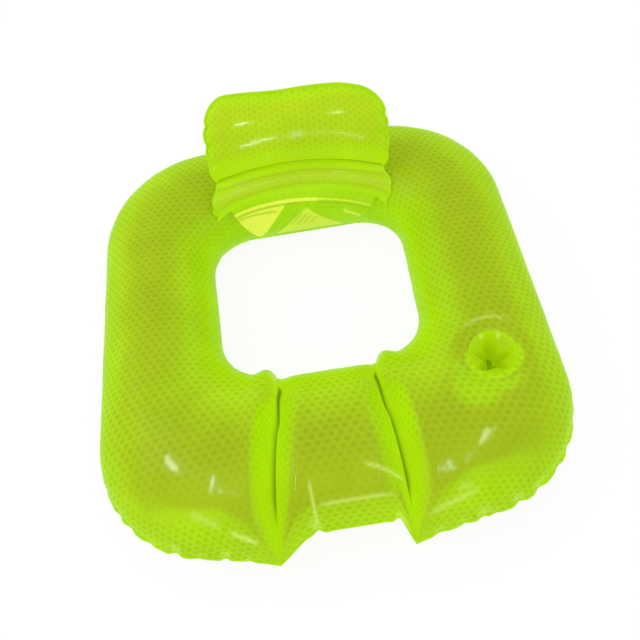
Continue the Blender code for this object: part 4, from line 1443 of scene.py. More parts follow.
def pillow_mark(rise, beyond, weld):
    """What mark_film needs to know of a point of the pillow's film: painted glow and brighter
    painted light near the waist, at the roll's foot and on the edges, its weld and painted shade,
    the painted shade and highlights of the roll's lines, and its dots.
    """
    edge = float(beyond > 0 or not 0 <= rise <= PILLOW_TOP)
    on_lobe = rise > WAIST
    run = PILLOW_GLOW_RUN if on_lobe else ROLL_GLOW_RUN
    foot = 1 - smooth(rise / ROLL_LENGTH * 2)
    through = max(1 - smooth(abs(rise - WAIST) / run), foot, EDGE_GLOW * edge, PILLOW_GLOW)
    steep = max(edge, PILLOW_SLOPE * through**2)
    line = weld + roll_line(rise) * (1 - edge)
    dots = (1 - edge) * (1 - weld) * (1 - PILLOW_GLOW_DOTS * through)
    return steep, line, dots * (1 if on_lobe else ROLL_DOTS), through


def pillow_bow(rise):
    """Extra length of film from the middle of the roll or lobe out to a height, flattened."""
    if rise < WAIST:
        share, deep = rise / ROLL_LENGTH, ROLL_HALF_DEPTH
    else:
        share, deep = (rise - WAIST) / LOBE_LENGTH, LOBE_HALF_DEPTH
    off = 2 * clamp01(share) - 1
    return math.copysign(abs(off) ** 3 * deep * PILLOW_BOW, off)


SEAM_ROOT = section_at(HALF, 1).bare(math.pi + INNER_SEAM)
SEAM_OUT = section_at(HALF, 1).flange_direction(math.pi + INNER_SEAM)
SEAM_UP = Vector((0, SEAM_OUT.z, -SEAM_OUT.y))
FLAP_FOOT = SEAM_ROOT + SEAM_OUT * FLAP_FOOT_RUN + SEAM_UP * (CAD_LAYER + 2 * FILM)


def nearest_angle(point):
    """Angle at which the ring's skin passes closest to a point, and how close."""
    side = math.copysign(1, point.x)

    def away(angle):
        return (section_at(place_reaching(point.x, angle), side).bare(angle) - point).length

    closest = min((LEAVE + math.radians(step) for step in range(*LEAVE_SEARCH)), key=away)
    beside = math.radians(LEAVE_SEARCH[2])
    low, high = closest - beside, closest + beside
    for _ in range(LEAVE_STEPS):
        third = (high - low) / 3
        nearer = away(low + third) < away(high - third)
        low, high = (low, high - third) if nearer else (low + third, high)
    return low, away(low)


def side_of(line, across, share):
    """Signed distance of a place of the flap to the left of a line, and share of its length."""
    x, y, end_x, end_y = line
    run = Vector((end_x - x, end_y - y))
    off = Vector((across - x, share - y))
    return run.normalized().cross(off), off.dot(run) / run.length_squared


def flap_fold(across, share):
    """Height of the loose film's folds, the painted shade along them, and how far its facets are
    painted pale or bright lime, from its left side (-1) to its right (+1), and from its lower
    weld (0) up to the pillow (1)."""
    height, shade = 0.0, 0.0
    for *line, width, high, dark in FLAP_FOLDS:
        off, along = side_of(line, across, share)
        fade = fading(along, FLAP_FOLDS_FADE)
        height += high * max(0.0, 1 - abs(off) / width) * fade
        shade += dark * bell(off, 0, FLAP_LINE_WIDTH) * fade
    tone = FLAP_NEON
    for *lines, paleness in FLAP_FACETS:
        inside = min(side_of(line, across, share)[0] for line in lines)
        tone -= FLAP_NEON * paleness * smooth(inside / FACET_EDGE + 0.5)
    pleats = bell(share - PLEATS_AT + PLEATS_LEAN * across, 0, PLEATS_WIDTH)
    pleats *= smooth(across * PLEATS_SHARP + 0.5) * smooth((PLEATS_END - across) * PLEATS_SHARP)
    shade += PLEATS_SHADE * pleats * math.sin(across * PLEATS_TURN) ** 2
    height += PLEATS_HEIGHT * pleats * math.sin(across * 2 * PLEATS_TURN)
    return height, min(1.0, shade), max(0.0, tone)


def flap_line(across, tree):
    """Points of the flap from its lower weld up to the pillow, at a share of its half width."""
    foot = Vector((HEADREST_OFFSET + across * FLAP_BOTTOM_HALF, FLAP_FOOT.y, FLAP_FOOT.z))
    tops = []
    for rise in (-FLANGE_WIDTH, 0):
        top_x = across * FLAP_TOP_SHARE * ROLL_HALF_WIDTH
        shift = pillow_shift(pillow_point(top_x, rise, 0), tree)
        tops.append(pillow_point(top_x, rise, -(FILM * FLAP_BEHIND)) + shift)
    last_angle, last_lift = nearest_angle(tops[0])
    line = [foot]
    for row in range(1, FLAP_ROWS - 1):
        share = row / (FLAP_ROWS - 1)
        angle = lerp(math.pi + INNER_SEAM, last_angle, share)
        x = lerp(foot.x, tops[0].x, share)
        side = math.copysign(1, x)
        place = place_reaching(x, angle)
        free = min(1.0, FLAP_FREE * share, FLAP_FREE * (1 - share))
        lift = lerp(FLAP_LIFT, last_lift, share**4) + flap_fold(across, share)[0] * free
        normal = ring_normal(place, side, angle)
        line.append(section_at(place, side).bare(angle) + normal * max(lift, FLAP_LIFT / 2))
    return line + tops


def build_flap(materials):
    """Single film from the weld under the opening's back edge up to the foot of the pillow."""
    tree = ring_skin()
    lines = [
        flap_line(2 * column / FLAP_COLUMNS - 1, tree) for column in range(FLAP_COLUMNS + 1)
    ]
    bm = grid(FLAP_COLUMNS, FLAP_ROWS)
    uvs, marks = {}, {}
    for vertex in bm.verts:
        column, row = round(vertex.co.x), round(vertex.co.y)
        across, share = 2 * column / FLAP_COLUMNS - 1, row / FLAP_ROWS
        vertex.co = lines[column][row]
        uvs[vertex] = (vertex.co.x, share * FLAP_RUN)
        shade, tone = flap_fold(across, share)[1:]
        # A hem band drawn bright lime as painted light with more painted glow, and painted shade
        # along the folds except on the hem
        hem = smooth((share - HEM_AT + HEM_LEAN * across) / HEM_RUN)
        steep, glow = max(tone, HEM_SLOPE * hem), FLAP_GLOW + HEM_GLOW * hem
        marks[vertex] = (steep, shade * (1 - hem), FLAP_DOTS, glow)
    mark_uv(bm, uvs)
    face_outwards(bm, HEADREST_FOOT + LEAN_FRONT)
    mark_film(bm, None, marks)
    piece = new_piece(
        "headrest_flap_film", bm, materials["flap"], "headrest", ["headrest_flap"]
    )
    thicken(piece)


# Valves


def lathe(profile):
    """Solid turned about Z from a closed profile of (radius, height) points."""
    bm = bmesh.new()
    points = [bm.verts.new((radius, 0.0, height)) for radius, height in profile]
    edges = [bm.edges.new(pair) for pair in zip(points, points[1:] + points[:1])]
    bmesh.ops.spin(
        bm,
        geom=points + edges,
        cent=(0, 0, 0),
        axis=(0, 0, 1),
        angle=2 * math.pi,
        steps=VALVE_TURNS,
        use_merge=True,
    )
    bmesh.ops.remove_doubles(bm, verts=bm.verts, dist=MERGE)
    bmesh.ops.recalc_face_normals(bm, faces=bm.faces)
    return bm


def tab(low, high):
    """Box between two corners, with rounded edges."""
    bm = bmesh.new()
    bmesh.ops.create_cube(bm, size=1.0)
    low, high = Vector(low), Vector(high)
    for vertex in bm.verts:
        vertex.co = (low + high) / 2 + Vector(a * b for a, b in zip(vertex.co, high - low))
    bmesh.ops.bevel(
        bm,
        geom=bm.edges[:],
        offset=min(high - low) * TAB_ROUND,
        offset_type="OFFSET",
        affect="EDGES",
        segments=2,
        profile=0.5,
        material=-1,
        clamp_overlap=True,
    )
    return bm


def joined(*meshes):
    """One mesh of several, which are freed."""
    whole = bmesh.new()
    for bm in meshes:
        part = bpy.data.meshes.new("part")
        bm.to_mesh(part)
        bm.free()
        whole.from_mesh(part)
        bpy.data.meshes.remove(part)
    return whole


def valve_frame(pad):
    centre, normal = pad[:2]
    across = Vector((1, 0, 0))
    across = (across - normal * across.dot(normal)).normalized()
    axes = Matrix((across, normal.cross(across), normal)).transposed().to_4x4()
    return Matrix.Translation(centre) @ axes


def build_valve(prefix, pad, body, materials):
    frame_matrix = valve_frame(pad)
    guide = STEM_RADIUS + VALVE_CLEARANCE
    edge = VALVE_CLEARANCE
    base_top = GAP + VALVE_BASE_THICKNESS
    plug_level = base_top + VALVE_CLEARANCE + COLLAR_THICKNESS
    hinge_level = plug_level + VALVE_CLEARANCE + STRAP_LIFT + STRAP_THICKNESS / 2
    collar_low = base_top + VALVE_CLEARANCE
    stem_end = plug_level - STEM_HOLD - STEM_TRAVEL
    lip, face = VALVE_STEPS
    base = lathe(
        (
            (guide, base_top + edge / 2),
            (guide + lip, base_top),
            (guide + face, base_top),
            (VALVE_BASE - 2 * edge, base_top),
            (VALVE_BASE - edge / 2, base_top - edge / 2),
            (VALVE_BASE, base_top - 1.5 * edge),
            (VALVE_BASE, GAP),
            (guide + GUIDE_WALL, GAP),
            (guide + GUIDE_WALL, -GUIDE_LENGTH),
            (guide, -GUIDE_LENGTH),
        )
    )
    stem = lathe(
        (
            (STEM_BORE, plug_level - edge / 2),
            (STEM_BORE + edge / 2, plug_level),
            (COLLAR_RADIUS - edge, plug_level),
            (COLLAR_RADIUS - edge / 4, plug_level - edge / 4),
            (COLLAR_RADIUS, plug_level - edge),
            (COLLAR_RADIUS, collar_low + edge / 2),
            (COLLAR_RADIUS - edge / 2, collar_low),
            (STEM_RADIUS, collar_low),
            (STEM_RADIUS, stem_end),
            (STEM_BORE, stem_end),
        )
    )
    lug = tab(
        (-HINGE_OFFSET - STRAP_THICKNESS / 2, -STRAP_WIDTH / 2, collar_low + STRAP_LIFT),
        (-(STEM_RADIUS + COLLAR_RADIUS) / 2, STRAP_WIDTH / 2, plug_level - STRAP_LIFT),
    )
    cap_low = plug_level + VALVE_CLEARANCE
    cap_top = cap_low + PLUG_CAP_THICKNESS
    dish, brim = PLUG_DISH_SHARES
    plug = lathe(
        (
            (0.0, cap_top - edge),
            (PLUG_CAP_RADIUS * dish, cap_top - edge),
            (PLUG_CAP_RADIUS * brim, cap_top),
            (PLUG_CAP_RADIUS - edge, cap_top),
            (PLUG_CAP_RADIUS - edge / 4, cap_top - edge / 4),
            (PLUG_CAP_RADIUS, cap_top - edge),
            (PLUG_CAP_RADIUS, cap_low + edge / 2),
            (PLUG_CAP_RADIUS - edge / 2, cap_low),
            (PLUG_SPIGOT_RADIUS, cap_low),
            (PLUG_SPIGOT_RADIUS, cap_low - PLUG_SPIGOT_LENGTH / 2),
            (PLUG_TIP_RADIUS, cap_low - PLUG_SPIGOT_LENGTH),
            (0.0, cap_low - PLUG_SPIGOT_LENGTH),
        )
    )
    half = STRAP_THICKNESS / 2
    strap = tab(
        (-HINGE_OFFSET - half, -STRAP_WIDTH / 2, hinge_level - half),
        (-PLUG_CAP_RADIUS + 2 * half, STRAP_WIDTH / 2, hinge_level + half),
    )
    for bm, part, rider in (
        (base, "base", body),
        (joined(stem, lug), "stem", prefix.replace("valve", "stem")),
        (joined(plug, strap), "plug", prefix.replace("valve", "plug")),
    ):
        bmesh.ops.transform(bm, matrix=frame_matrix, verts=bm.verts)
        node = f"{prefix}_{part}"
        piece = new_piece(
            node + "_piece", bm, materials["valve"], rider, [node]
        )
        piece.data.set_sharp_from_angle(angle=VALVE_SHARP)
    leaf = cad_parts[prefix + "_leaf"]
    leaf.data.materials.clear()
    leaf.data.materials.append(materials["valve"])


# Materials


def feed(tree, node, sockets):
    """Link a node's sockets or give them values."""
    for key, value in sockets.items():
        if isinstance(value, bpy.types.NodeSocket):
            tree.links.new(value, node.inputs[key])
        else:
            node.inputs[key].default_value = value
    return node


def add_node(tree, kind, sockets, **settings):
    """Node with its settings, and its sockets linked or given values."""
    node = tree.nodes.new(kind)
    for name, value in settings.items():
        setattr(node, name, value)
    return feed(tree, node, sockets)


def new_material(name):
    """Material with its node tree and its Principled BSDF."""
    made = bpy.data.materials.new(name)
    made.use_nodes = True
    return made, made.node_tree, made.node_tree.nodes["Principled BSDF"]


def clouds_node(tree, place, scale, detail):
    sockets = {"Vector": place, "Scale": scale, "Detail": detail}
    return add_node(tree, "ShaderNodeTexNoise", sockets).outputs[0]


def bump_node(tree, height, distance, strength):
    sockets = {"Height": height, "Distance": distance, "Strength": strength}
    return add_node(tree, "ShaderNodeBump", sockets).outputs[0]


def new_group(name, inputs, outputs):
    """Empty node group, with its input and output nodes."""
    group = bpy.data.node_groups.new(name, "ShaderNodeTree")
    for direction, sockets in (("INPUT", inputs), ("OUTPUT", outputs)):
        for label, kind in sockets:
            group.interface.new_socket(name=label, in_out=direction, socket_type=kind)
    return group, group.nodes.new("NodeGroupInput").outputs, group.nodes.new("NodeGroupOutput")


def math_node(tree, operation, *values):
    sockets = dict(enumerate(values))
    return add_node(tree, "ShaderNodeMath", sockets, operation=operation).outputs[0]


def vector_node(tree, operation, *values):
    node = add_node(tree, "ShaderNodeVectorMath", dict(enumerate(values)), operation=operation)
    return node.outputs["Value"] if operation == "LENGTH" else node.outputs["Vector"]


def ramp_node(tree, value, low, high, start=0.0, end=1.0):
    node = add_node(
        tree,
        "ShaderNodeMapRange",
        {"Value": value, "From Min": low, "From Max": high, "To Min": start, "To Max": end},
        interpolation_type="SMOOTHSTEP",
    )
    return node.outputs["Result"]


def mix_node(tree, factor, first, second, blend="MIX"):
    node = add_node(
        tree,
        "ShaderNodeMix",
        {0: factor, 6: first, 7: second},
        data_type="RGBA",
        blend_type=blend,
    )
    return node.outputs[2]


def dot_group():
    """Dots pressed into the film on a lattice of equal triangles."""
    tree, given, out = new_group(
        "dot_emboss",
        (
            ("Film place", "NodeSocketVector"),
            ("Pitch", "NodeSocketFloat"),
            ("Size", "NodeSocketFloat"),
            ("Softness", "NodeSocketFloat"),
        ),
        (("Mask", "NodeSocketFloat"),),
    )
    tall = math.sqrt(3)
    cell = add_node(
        tree,
        "ShaderNodeCombineXYZ",
        {0: given["Pitch"], 1: math_node(tree, "MULTIPLY", given["Pitch"], tall), 2: 1.0},
    ).outputs[0]
    lattice = vector_node(tree, "DIVIDE", given["Film place"], cell)
    reaches = []
    for shift in (0.0, 0.5):
        moved = vector_node(tree, "ADD", lattice, (shift, shift, 0))
        inside = vector_node(tree, "FRACTION", moved)
        centred = vector_node(tree, "SUBTRACT", inside, (0.5, 0.5, 0))
        round_dot = vector_node(tree, "MULTIPLY", centred, (1, tall, 0))
        reaches.append(vector_node(tree, "LENGTH", round_dot))
    nearest = math_node(tree, "MINIMUM", *reaches)
    soft = given["Softness"]
    low = math_node(tree, "MULTIPLY", given["Size"], math_node(tree, "SUBTRACT", 1.0, soft))
    high = math_node(tree, "MULTIPLY", given["Size"], math_node(tree, "ADD", 1.0, soft))
    tree.links.new(ramp_node(tree, nearest, low, high, 1.0, 0.0), out.inputs["Mask"])
    return tree


def tone_group():
    """Colour of the film with its light and shade painted in: darker olive where it faces the
    axis, brighter lime where it turns away, weld and painted shade, painted highlights, and a
    painted glow.
    """
    tree, given, out = new_group(
        "film_tone",
        (
            ("Film mask", "NodeSocketColor"),
            ("Dots", "NodeSocketFloat"),
            ("Uneven", "NodeSocketFloat"),
            ("Flat", "NodeSocketColor"),
            ("Sloping", "NodeSocketColor"),
            ("Steep", "NodeSocketColor"),
            ("Weld", "NodeSocketColor"),
            ("Painted highlight", "NodeSocketColor"),
            ("Dot darkness", "NodeSocketFloat"),
            ("Through", "NodeSocketFloat"),
            ("Glow", "NodeSocketFloat"),
            ("Deep glow", "NodeSocketFloat"),
        ),
        (
            ("Colour", "NodeSocketColor"),
            ("Dot height", "NodeSocketFloat"),
            ("Glow colour", "NodeSocketColor"),
        ),
    )
    mask = add_node(tree, "ShaderNodeSeparateColor", {0: given["Film mask"]}).outputs
    # Painted shading by slope: flat, sloping and steep colours
    sloping = ramp_node(tree, mask[0], *SLOPING_FROM)
    steep = ramp_node(tree, mask[0], *STEEP_FROM)
    colour = mix_node(tree, sloping, given["Flat"], given["Sloping"])
    colour = mix_node(tree, steep, colour, given["Steep"])
    shown = math_node(tree, "MULTIPLY", given["Dots"], mask[2])
    shade = math_node(tree, "MULTIPLY", shown, given["Dot darkness"])
    light = math_node(tree, "SUBTRACT", given["Uneven"], shade)
    colour = mix_node(tree, 1.0, colour, light, "MULTIPLY")
    # Dark welds and painted shade, where the mask's green is above 0
    colour = mix_node(tree, mask[1], colour, given["Weld"])
    # Painted highlights, where the mask's green is below 0
    crest = math_node(tree, "MULTIPLY", mask[1], -1.0)
    colour = mix_node(tree, crest, colour, given["Painted highlight"])
    # Painted glow: a share of the colour is given as emission, more where the mask's alpha says,
    # and the lit colour is cut by as much
    deep = math_node(tree, "MULTIPLY", given["Through"], given["Deep glow"])
    glow = math_node(tree, "ADD", given["Glow"], deep)
    lit = math_node(tree, "SUBTRACT", 1.0, glow)
    tree.links.new(mix_node(tree, 1.0, colour, lit, "MULTIPLY"), out.inputs["Colour"])
    tree.links.new(shown, out.inputs["Dot height"])
    tree.links.new(mix_node(tree, 1.0, colour, glow, "MULTIPLY"), out.inputs["Glow colour"])
    return tree


def film_material(name, groups, look, flat, sloping, steep, weld, dot_share):
    """Vinyl film with pressed dots, in its own colours, with its shading by slope, its shade,
    highlights and glow painted in.
    """
    made, tree, shader = new_material(name)
    mask = add_node(tree, "ShaderNodeAttribute", {}, attribute_name=MASK_NAME).outputs
    place = add_node(tree, "ShaderNodeTexCoord", {}).outputs["Object"]
    sockets = {
        "Film place": add_node(tree, "ShaderNodeUVMap", {}, uv_map=UV_NAME).outputs[0],
        "Pitch": look.dot_pitch,
        "Size": look.dot_size,
        "Softness": look.dot_softness,
    }
    dots = add_node(tree, "ShaderNodeGroup", sockets, node_tree=groups["dots"])
    clouds = clouds_node(tree, place, *FILM_CLOUDS)
    spread = look.unevenness
    sockets = {
        "Film mask": mask["Color"],
        "Through": mask["Alpha"],
        "Dots": dots.outputs["Mask"],
        "Uneven": ramp_node(tree, clouds, *CLOUD_SPAN, 1 - spread, 1 + spread),
        "Flat": (*flat, 1),
        "Sloping": (*sloping, 1),
        "Steep": (*steep, 1),
        "Weld": (*weld, 1),
        "Painted highlight": (*look.painted_highlight_colour, 1),
        "Dot darkness": look.dot_darkness * dot_share,
        "Glow": look.glow,
        "Deep glow": look.deep_glow,
    }
    tone = add_node(tree, "ShaderNodeGroup", sockets, node_tree=groups["tone"])
    pressed_in = math_node(tree, "MULTIPLY", tone.outputs["Dot height"], -1.0)
    grain = math_node(tree, "MULTIPLY", clouds_node(tree, place, *FILM_GRAIN), look.grain)
    height = math_node(tree, "ADD", pressed_in, grain)
    sockets = {
        "Normal": bump_node(tree, height, look.dot_relief, 1.0),
        "Base Color": tone.outputs["Colour"],
        # Painted glow, given as emission
        "Emission Color": tone.outputs["Glow colour"],
        "Emission Strength": 1.0,
        "Roughness": look.roughness,
        "IOR": look.base_ior,
        "Coat Weight": look.coat,
        "Coat Roughness": look.coat_roughness,
        "Coat IOR": look.ior,
    }
    feed(tree, shader, sockets)
    return made


def valve_material(look):
    """Clear pale vinyl of the moulded valves."""
    made, tree, shader = new_material("valve_moulded_vinyl")
    place = add_node(tree, "ShaderNodeTexCoord", {}).outputs["Object"]
    clouds = clouds_node(tree, place, *VALVE_CLOUDS)
    pale = ramp_node(tree, clouds, *CLOUD_SPAN, *VALVE_PALE)
    sockets = {
        "Base Color": mix_node(tree, 1.0, (*look.valve_colour, 1), pale, "MULTIPLY"),
        "Normal": bump_node(tree, clouds, *VALVE_BUMP),
        "Roughness": VALVE_ROUGHNESS,
        "IOR": VALVE_IOR,
    }
    feed(tree, shader, sockets)
    return made


def make_materials(look):
    """All finishes of the chair, by the part they go on. A film has its name, its colours facing
    up, sloping and on edge, which paint its shading by slope, its colour in a weld and painted
    shade, and the share of its dots' darkness."""
    groups = {"dots": dot_group(), "tone": tone_group()}
    sloping, steep = look.sloping_colour, look.steep_colour
    films = {
        "ring": ("ring_lime_film", look.flat_colour, sloping, steep, look.weld_and_shade_colour, 1.0),
        "cup": ("cup_lime_film", CUP_DEEP, sloping, steep, CUP_PAINTED_SHADE, 0.3),
        "headrest": ("headrest_lime_film", PILLOW_FLAT, PILLOW_SLOPING, steep, PILLOW_WELD_AND_SHADE, 0.8),
        "flap": ("flap_bright_film", FLAP_FLAT, FLAP_FLAT, FLAP_STEEP, FLAP_FOLD_SHADE, 0.5),
    }
    made = {}
    for part, (name, *colours) in films.items():
        made[part] = film_material(name, groups, look, *colours)
    made["valve"] = valve_material(look)
    return made


# Stage


def camera_matrix():
    """Camera at the photograph's angle, tilted and rolled as it was."""
    e, az, roll = (math.radians(x) for x in (CAMERA_ELEVATION, CAMERA_AZIMUTH, CAMERA_ROLL))
    forward = Vector((-math.sin(az) * math.cos(e), math.cos(az) * math.cos(e), -math.sin(e)))
    right = Vector((math.cos(az), math.sin(az), 0))
    up = right.cross(forward)
    rolled_right = right * math.cos(roll) - up * math.sin(roll)
    rolled_up = right * math.sin(roll) + up * math.cos(roll)
    axes = Matrix((rolled_right, rolled_up, -forward)).transposed().to_4x4()
    return Matrix.Translation(CAMERA_PLACE) @ axes


def make_camera():
    data = bpy.data.cameras.new("camera")
    data.sensor_width = CAMERA_SENSOR
    data.lens = CAMERA_LENS
    camera = bpy.data.objects.new("camera", data)
    camera.matrix_world = camera_matrix()
    bpy.context.scene.collection.objects.link(camera)
    bpy.context.scene.camera = camera


def seen_factor(tree):
    """1 for rays that show the background itself or its reflection."""
    path = add_node(tree, "ShaderNodeLightPath", {}).outputs
    seen = math_node(tree, "MAXIMUM", path["Is Camera Ray"], path["Is Glossy Ray"])
    return math_node(tree, "MAXIMUM", seen, path["Is Transmission Ray"])


def make_world(stage):
    world = bpy.data.worlds.new("white_room")
    world.use_nodes = True
    tree = world.node_tree
    light = feed(
        tree, tree.nodes["Background"], {"Color": WHITE, "Strength": stage.world_light}
    )
    seen = add_node(tree, "ShaderNodeBackground", {"Color": WHITE, "Strength": 1.0})
    mixed = add_node(
        tree,
        "ShaderNodeMixShader",
        {0: seen_factor(tree), 1: light.outputs[0], 2: seen.outputs[0]},
    )
    tree.links.new(mixed.outputs[0], tree.nodes["World Output"].inputs["Surface"])
    bpy.context.scene.world = world


def make_floor(stage):
    bm = bmesh.new()
    bmesh.ops.create_circle(
        bm, cap_ends=True, segments=FLOOR_TURNS, radius=stage.floor_radius
    )
    bmesh.ops.translate(bm, verts=bm.verts, vec=(0, 0, -FLOOR_DROP))
    mesh = bpy.data.meshes.new("floor")
    bm.to_mesh(mesh)
    bm.free()
    floor = bpy.data.objects.new("floor", mesh)
    bpy.context.scene.collection.objects.link(floor)
    made, tree, shader = new_material("white_floor")
    sockets = {"Base Color": FLOOR_PALE, "Roughness": 0.9, "Specular IOR Level": 0.0}
    feed(tree, shader, sockets)
    white = add_node(tree, "ShaderNodeEmission", {"Color": WHITE, "Strength": FLOOR_WHITE})
    share = math_node(tree, "MULTIPLY", seen_factor(tree), 1 - stage.shadow_share)
    mixed = add_node(
        tree, "ShaderNodeMixShader", {0: share, 1: shader.outputs[0], 2: white.outputs[0]}
    )
    tree.links.new(mixed.outputs[0], tree.nodes["Material Output"].inputs["Surface"])
    mesh.materials.append(made)


def make_lamp(name, place, target, width, length, power):
    data = bpy.data.lights.new(name, "AREA")
    data.shape = "RECTANGLE"
    data.size = width
    data.size_y = length
    data.energy = power
    lamp = bpy.data.objects.new(name, data)
    lamp.location = place
    lamp.rotation_euler = (Vector(target) - Vector(place)).to_track_quat("-Z", "Y").to_euler()
    bpy.context.scene.collection.objects.link(lamp)
    return lamp


def make_glint(name, width, length, strength, direction, target, along):
    """Narrow lamp that shows only as a reflection round one place."""
    out = Vector(direction).normalized()
    place = Vector(target) + out * GLINT_REACH
    power = GLINT_POWER * width * length * strength
    lamp = make_lamp("glint_" + name, place, target, width, length, power)
    lengthwise = (Vector(along) - out * out.dot(Vector(along))).normalized()
    axes = Matrix((lengthwise.cross(out), lengthwise, out)).transposed().to_4x4()
    lamp.matrix_world = Matrix.Translation(place) @ axes
    lamp.data.spread = GLINT_SPREAD
    lamp.visible_diffuse = False
    lamp.visible_camera = False


# Settings


def metres(label, text, value):
    return bpy.props.FloatProperty(name=label, description=text, default=value, unit="LENGTH")


def share(label, text, value):
    return bpy.props.FloatProperty(name=label, description=text, default=value, min=0.0)


def colour(label, text, value):
    return bpy.props.FloatVectorProperty(
        name=label, description=text, default=value, subtype="COLOR", size=3, min=0.0, max=1.0
    )


class PoolChairShape(bpy.types.PropertyGroup):
    """Sizes of the soft detail that the air and the welds give the film."""

    pucker: share("Puckers", "Depth of the puckers along the outer seam, as a share", 1.0)
    ridge: metres("Ridge", "How far the front faces are flattened below their ridge", 0.009)
    wave_height: metres("Waves", "Height of the film's soft unevenness", 0.0008)
    cup_lobes: bpy.props.IntProperty(
        name="Cup lobes", description="Lobes that the air presses into the cup well", default=5
    )
    cup_bulge: metres("Cup bulge", "How far each lobe stands into the cup well", 0.0125)


class PoolChairLook(bpy.types.PropertyGroup):
    """Colours and surface of the vinyl film."""

    dot_pitch: metres("Dot pitch", "Distance between pressed dots", 0.016)
    dot_size: share("Dot size", "Radius of a dot, as a share of the pitch", 0.29)
    dot_softness: share("Dot softness", "How gently a dot's edge fades", 0.80)
    dot_darkness: share("Dot darkness", "How much darker a dot is than the film", 0.19)
    dot_relief: metres("Dot relief", "Depth of the pressed dots", 0.0002)
    grain: share("Grain", "Fine grain, as a share of the dots' depth", 0.12)
    unevenness: share("Unevenness", "Soft variation of the film's colour", 0.04)
    # Painted shading by slope: film facing up is drawn darker olive, sloping and steep film
    # brighter lime
    flat_colour: colour("Facing", "Film that faces up", (0.38, 0.53, 0.010))
    sloping_colour: colour("Sloping", "Film that slopes", (0.42, 0.70, 0.009))
    steep_colour: colour("Steep", "Film on its edge", (0.44, 0.79, 0.004))
    # Dark welds, and painted shade at the bottom of the creases
    weld_and_shade_colour: colour("Weld", "Welded creases", (0.15, 0.30, 0.002))
    # Painted highlights along folds, ridges and puckers, round the cup well and on the roll
    painted_highlight_colour: colour("Painted highlight", "Film drawn pale along a fold", (0.80, 0.97, 0.22))
    valve_colour: colour("Valve", "Moulded valves", (0.60, 0.86, 0.20))
    roughness: share("Roughness", "Roughness of the film", 0.38)
    coat: share("Gloss", "Weight of the film's clear gloss", 0.10)
    coat_roughness: share("Gloss roughness", "Roughness of the clear gloss", 0.105)
    base_ior: share("Base IOR", "Index of refraction under the gloss", 1.04)
    ior: share("Gloss IOR", "Index of refraction of the gloss", 1.5)
    # Painted glow: a share of the colour given as emission, and a further share in creases, welds
    # and edges that lifts their shade
    glow: share("Glow", "Share of the colour that comes through the film", 0.22)
    deep_glow: share("Deep glow", "Further share where films meet in creases and welds", 0.72)


class PoolChairStage(bpy.types.PropertyGroup):
    """Floor and light."""

    world_light: share("Room light", "Strength of the light from all round", 0.92)
    shadow_share: share("Floor shadow", "How much of the floor's shadow shows", 0.10)
    floor_radius: metres("Floor", "Radius of the floor", 8.0)


# Operators

MATERIALS = {}


class POOLCHAIR_OT_materials(bpy.types.Operator):
    """Make the chair's finishes"""

    bl_idname = "pool_chair.materials"
    bl_label = "Finishes"

    def execute(self, context):
        MATERIALS.update(make_materials(context.scene.pool_chair_look))
        return {"FINISHED"}


class POOLCHAIR_OT_ring(bpy.types.Operator):
    """Build the ring's top and bottom films"""

    bl_idname = "pool_chair.ring"
    bl_label = "Ring"

    def execute(self, context):
        build_ring(context.scene.pool_chair_shape, MATERIALS)
        return {"FINISHED"}


class POOLCHAIR_OT_cup_well(bpy.types.Operator):
    """Build the pleated cup well"""

    bl_idname = "pool_chair.cup_well"
    bl_label = "Cup well"

    def execute(self, context):
        build_cup_well(context.scene.pool_chair_shape, MATERIALS)
        return {"FINISHED"}


class POOLCHAIR_OT_headrest(bpy.types.Operator):
    """Build the pillow and its flap"""

    bl_idname = "pool_chair.headrest"
    bl_label = "Headrest"

    def execute(self, context):
        build_pillow(context.scene.pool_chair_shape, MATERIALS)
        build_flap(MATERIALS)
        return {"FINISHED"}


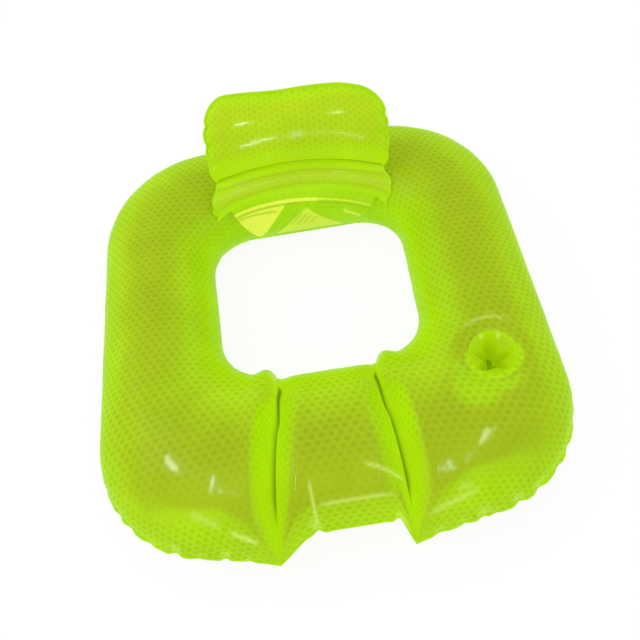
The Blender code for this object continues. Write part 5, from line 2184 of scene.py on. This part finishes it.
class POOLCHAIR_OT_valves(bpy.types.Operator):
    """Build both air valves"""

    bl_idname = "pool_chair.valves"
    bl_label = "Valves"

    def execute(self, context):
        build_valve("ring_valve", RING_PAD, "ring", MATERIALS)
        build_valve("headrest_valve", HEADREST_PAD, "headrest", MATERIALS)
        return {"FINISHED"}


class POOLCHAIR_OT_stage(bpy.types.Operator):
    """Set the floor, the light and the camera"""

    bl_idname = "pool_chair.stage"
    bl_label = "Stage"

    def execute(self, context):
        stage = context.scene.pool_chair_stage
        make_camera()
        make_world(stage)
        make_floor(stage)
        for lamp in LAMPS:
            make_lamp(*lamp)
        for lamp in GLINTS:
            make_glint(*lamp)
        context.scene.view_settings.view_transform = "Standard"
        return {"FINISHED"}


STEPS = (
    POOLCHAIR_OT_materials,
    POOLCHAIR_OT_ring,
    POOLCHAIR_OT_cup_well,
    POOLCHAIR_OT_headrest,
    POOLCHAIR_OT_valves,
    POOLCHAIR_OT_stage,
)


class POOLCHAIR_PT_panel(bpy.types.Panel):
    """Steps and settings of the pool chair"""

    bl_idname = "POOLCHAIR_PT_panel"
    bl_label = "Pool chair"
    bl_space_type = "VIEW_3D"
    bl_region_type = "UI"
    bl_category = "Pool chair"

    def draw(self, context):
        for step in STEPS:
            self.layout.operator(step.bl_idname)
        for group in GROUPS:
            box = self.layout.box()
            settings = getattr(context.scene, group)
            for name in settings.bl_rna.properties.keys():
                if name not in ("rna_type", "name"):
                    box.prop(settings, name)


GROUPS = {
    "pool_chair_shape": PoolChairShape,
    "pool_chair_look": PoolChairLook,
    "pool_chair_stage": PoolChairStage,
}
CLASSES = (*GROUPS.values(), *STEPS, POOLCHAIR_PT_panel)


def register():
    for made in CLASSES:
        bpy.utils.register_class(made)
    for name, group in GROUPS.items():
        setattr(bpy.types.Scene, name, bpy.props.PointerProperty(type=group))


def unregister():
    for name in GROUPS:
        delattr(bpy.types.Scene, name)
    for made in reversed(CLASSES):
        bpy.utils.unregister_class(made)


def main():
    register()
    bpy.ops.pool_chair.materials()
    bpy.ops.pool_chair.ring()
    bpy.ops.pool_chair.cup_well()
    bpy.ops.pool_chair.headrest()
    bpy.ops.pool_chair.valves()
    bpy.ops.pool_chair.stage()


if __name__ == "__main__":
    main()
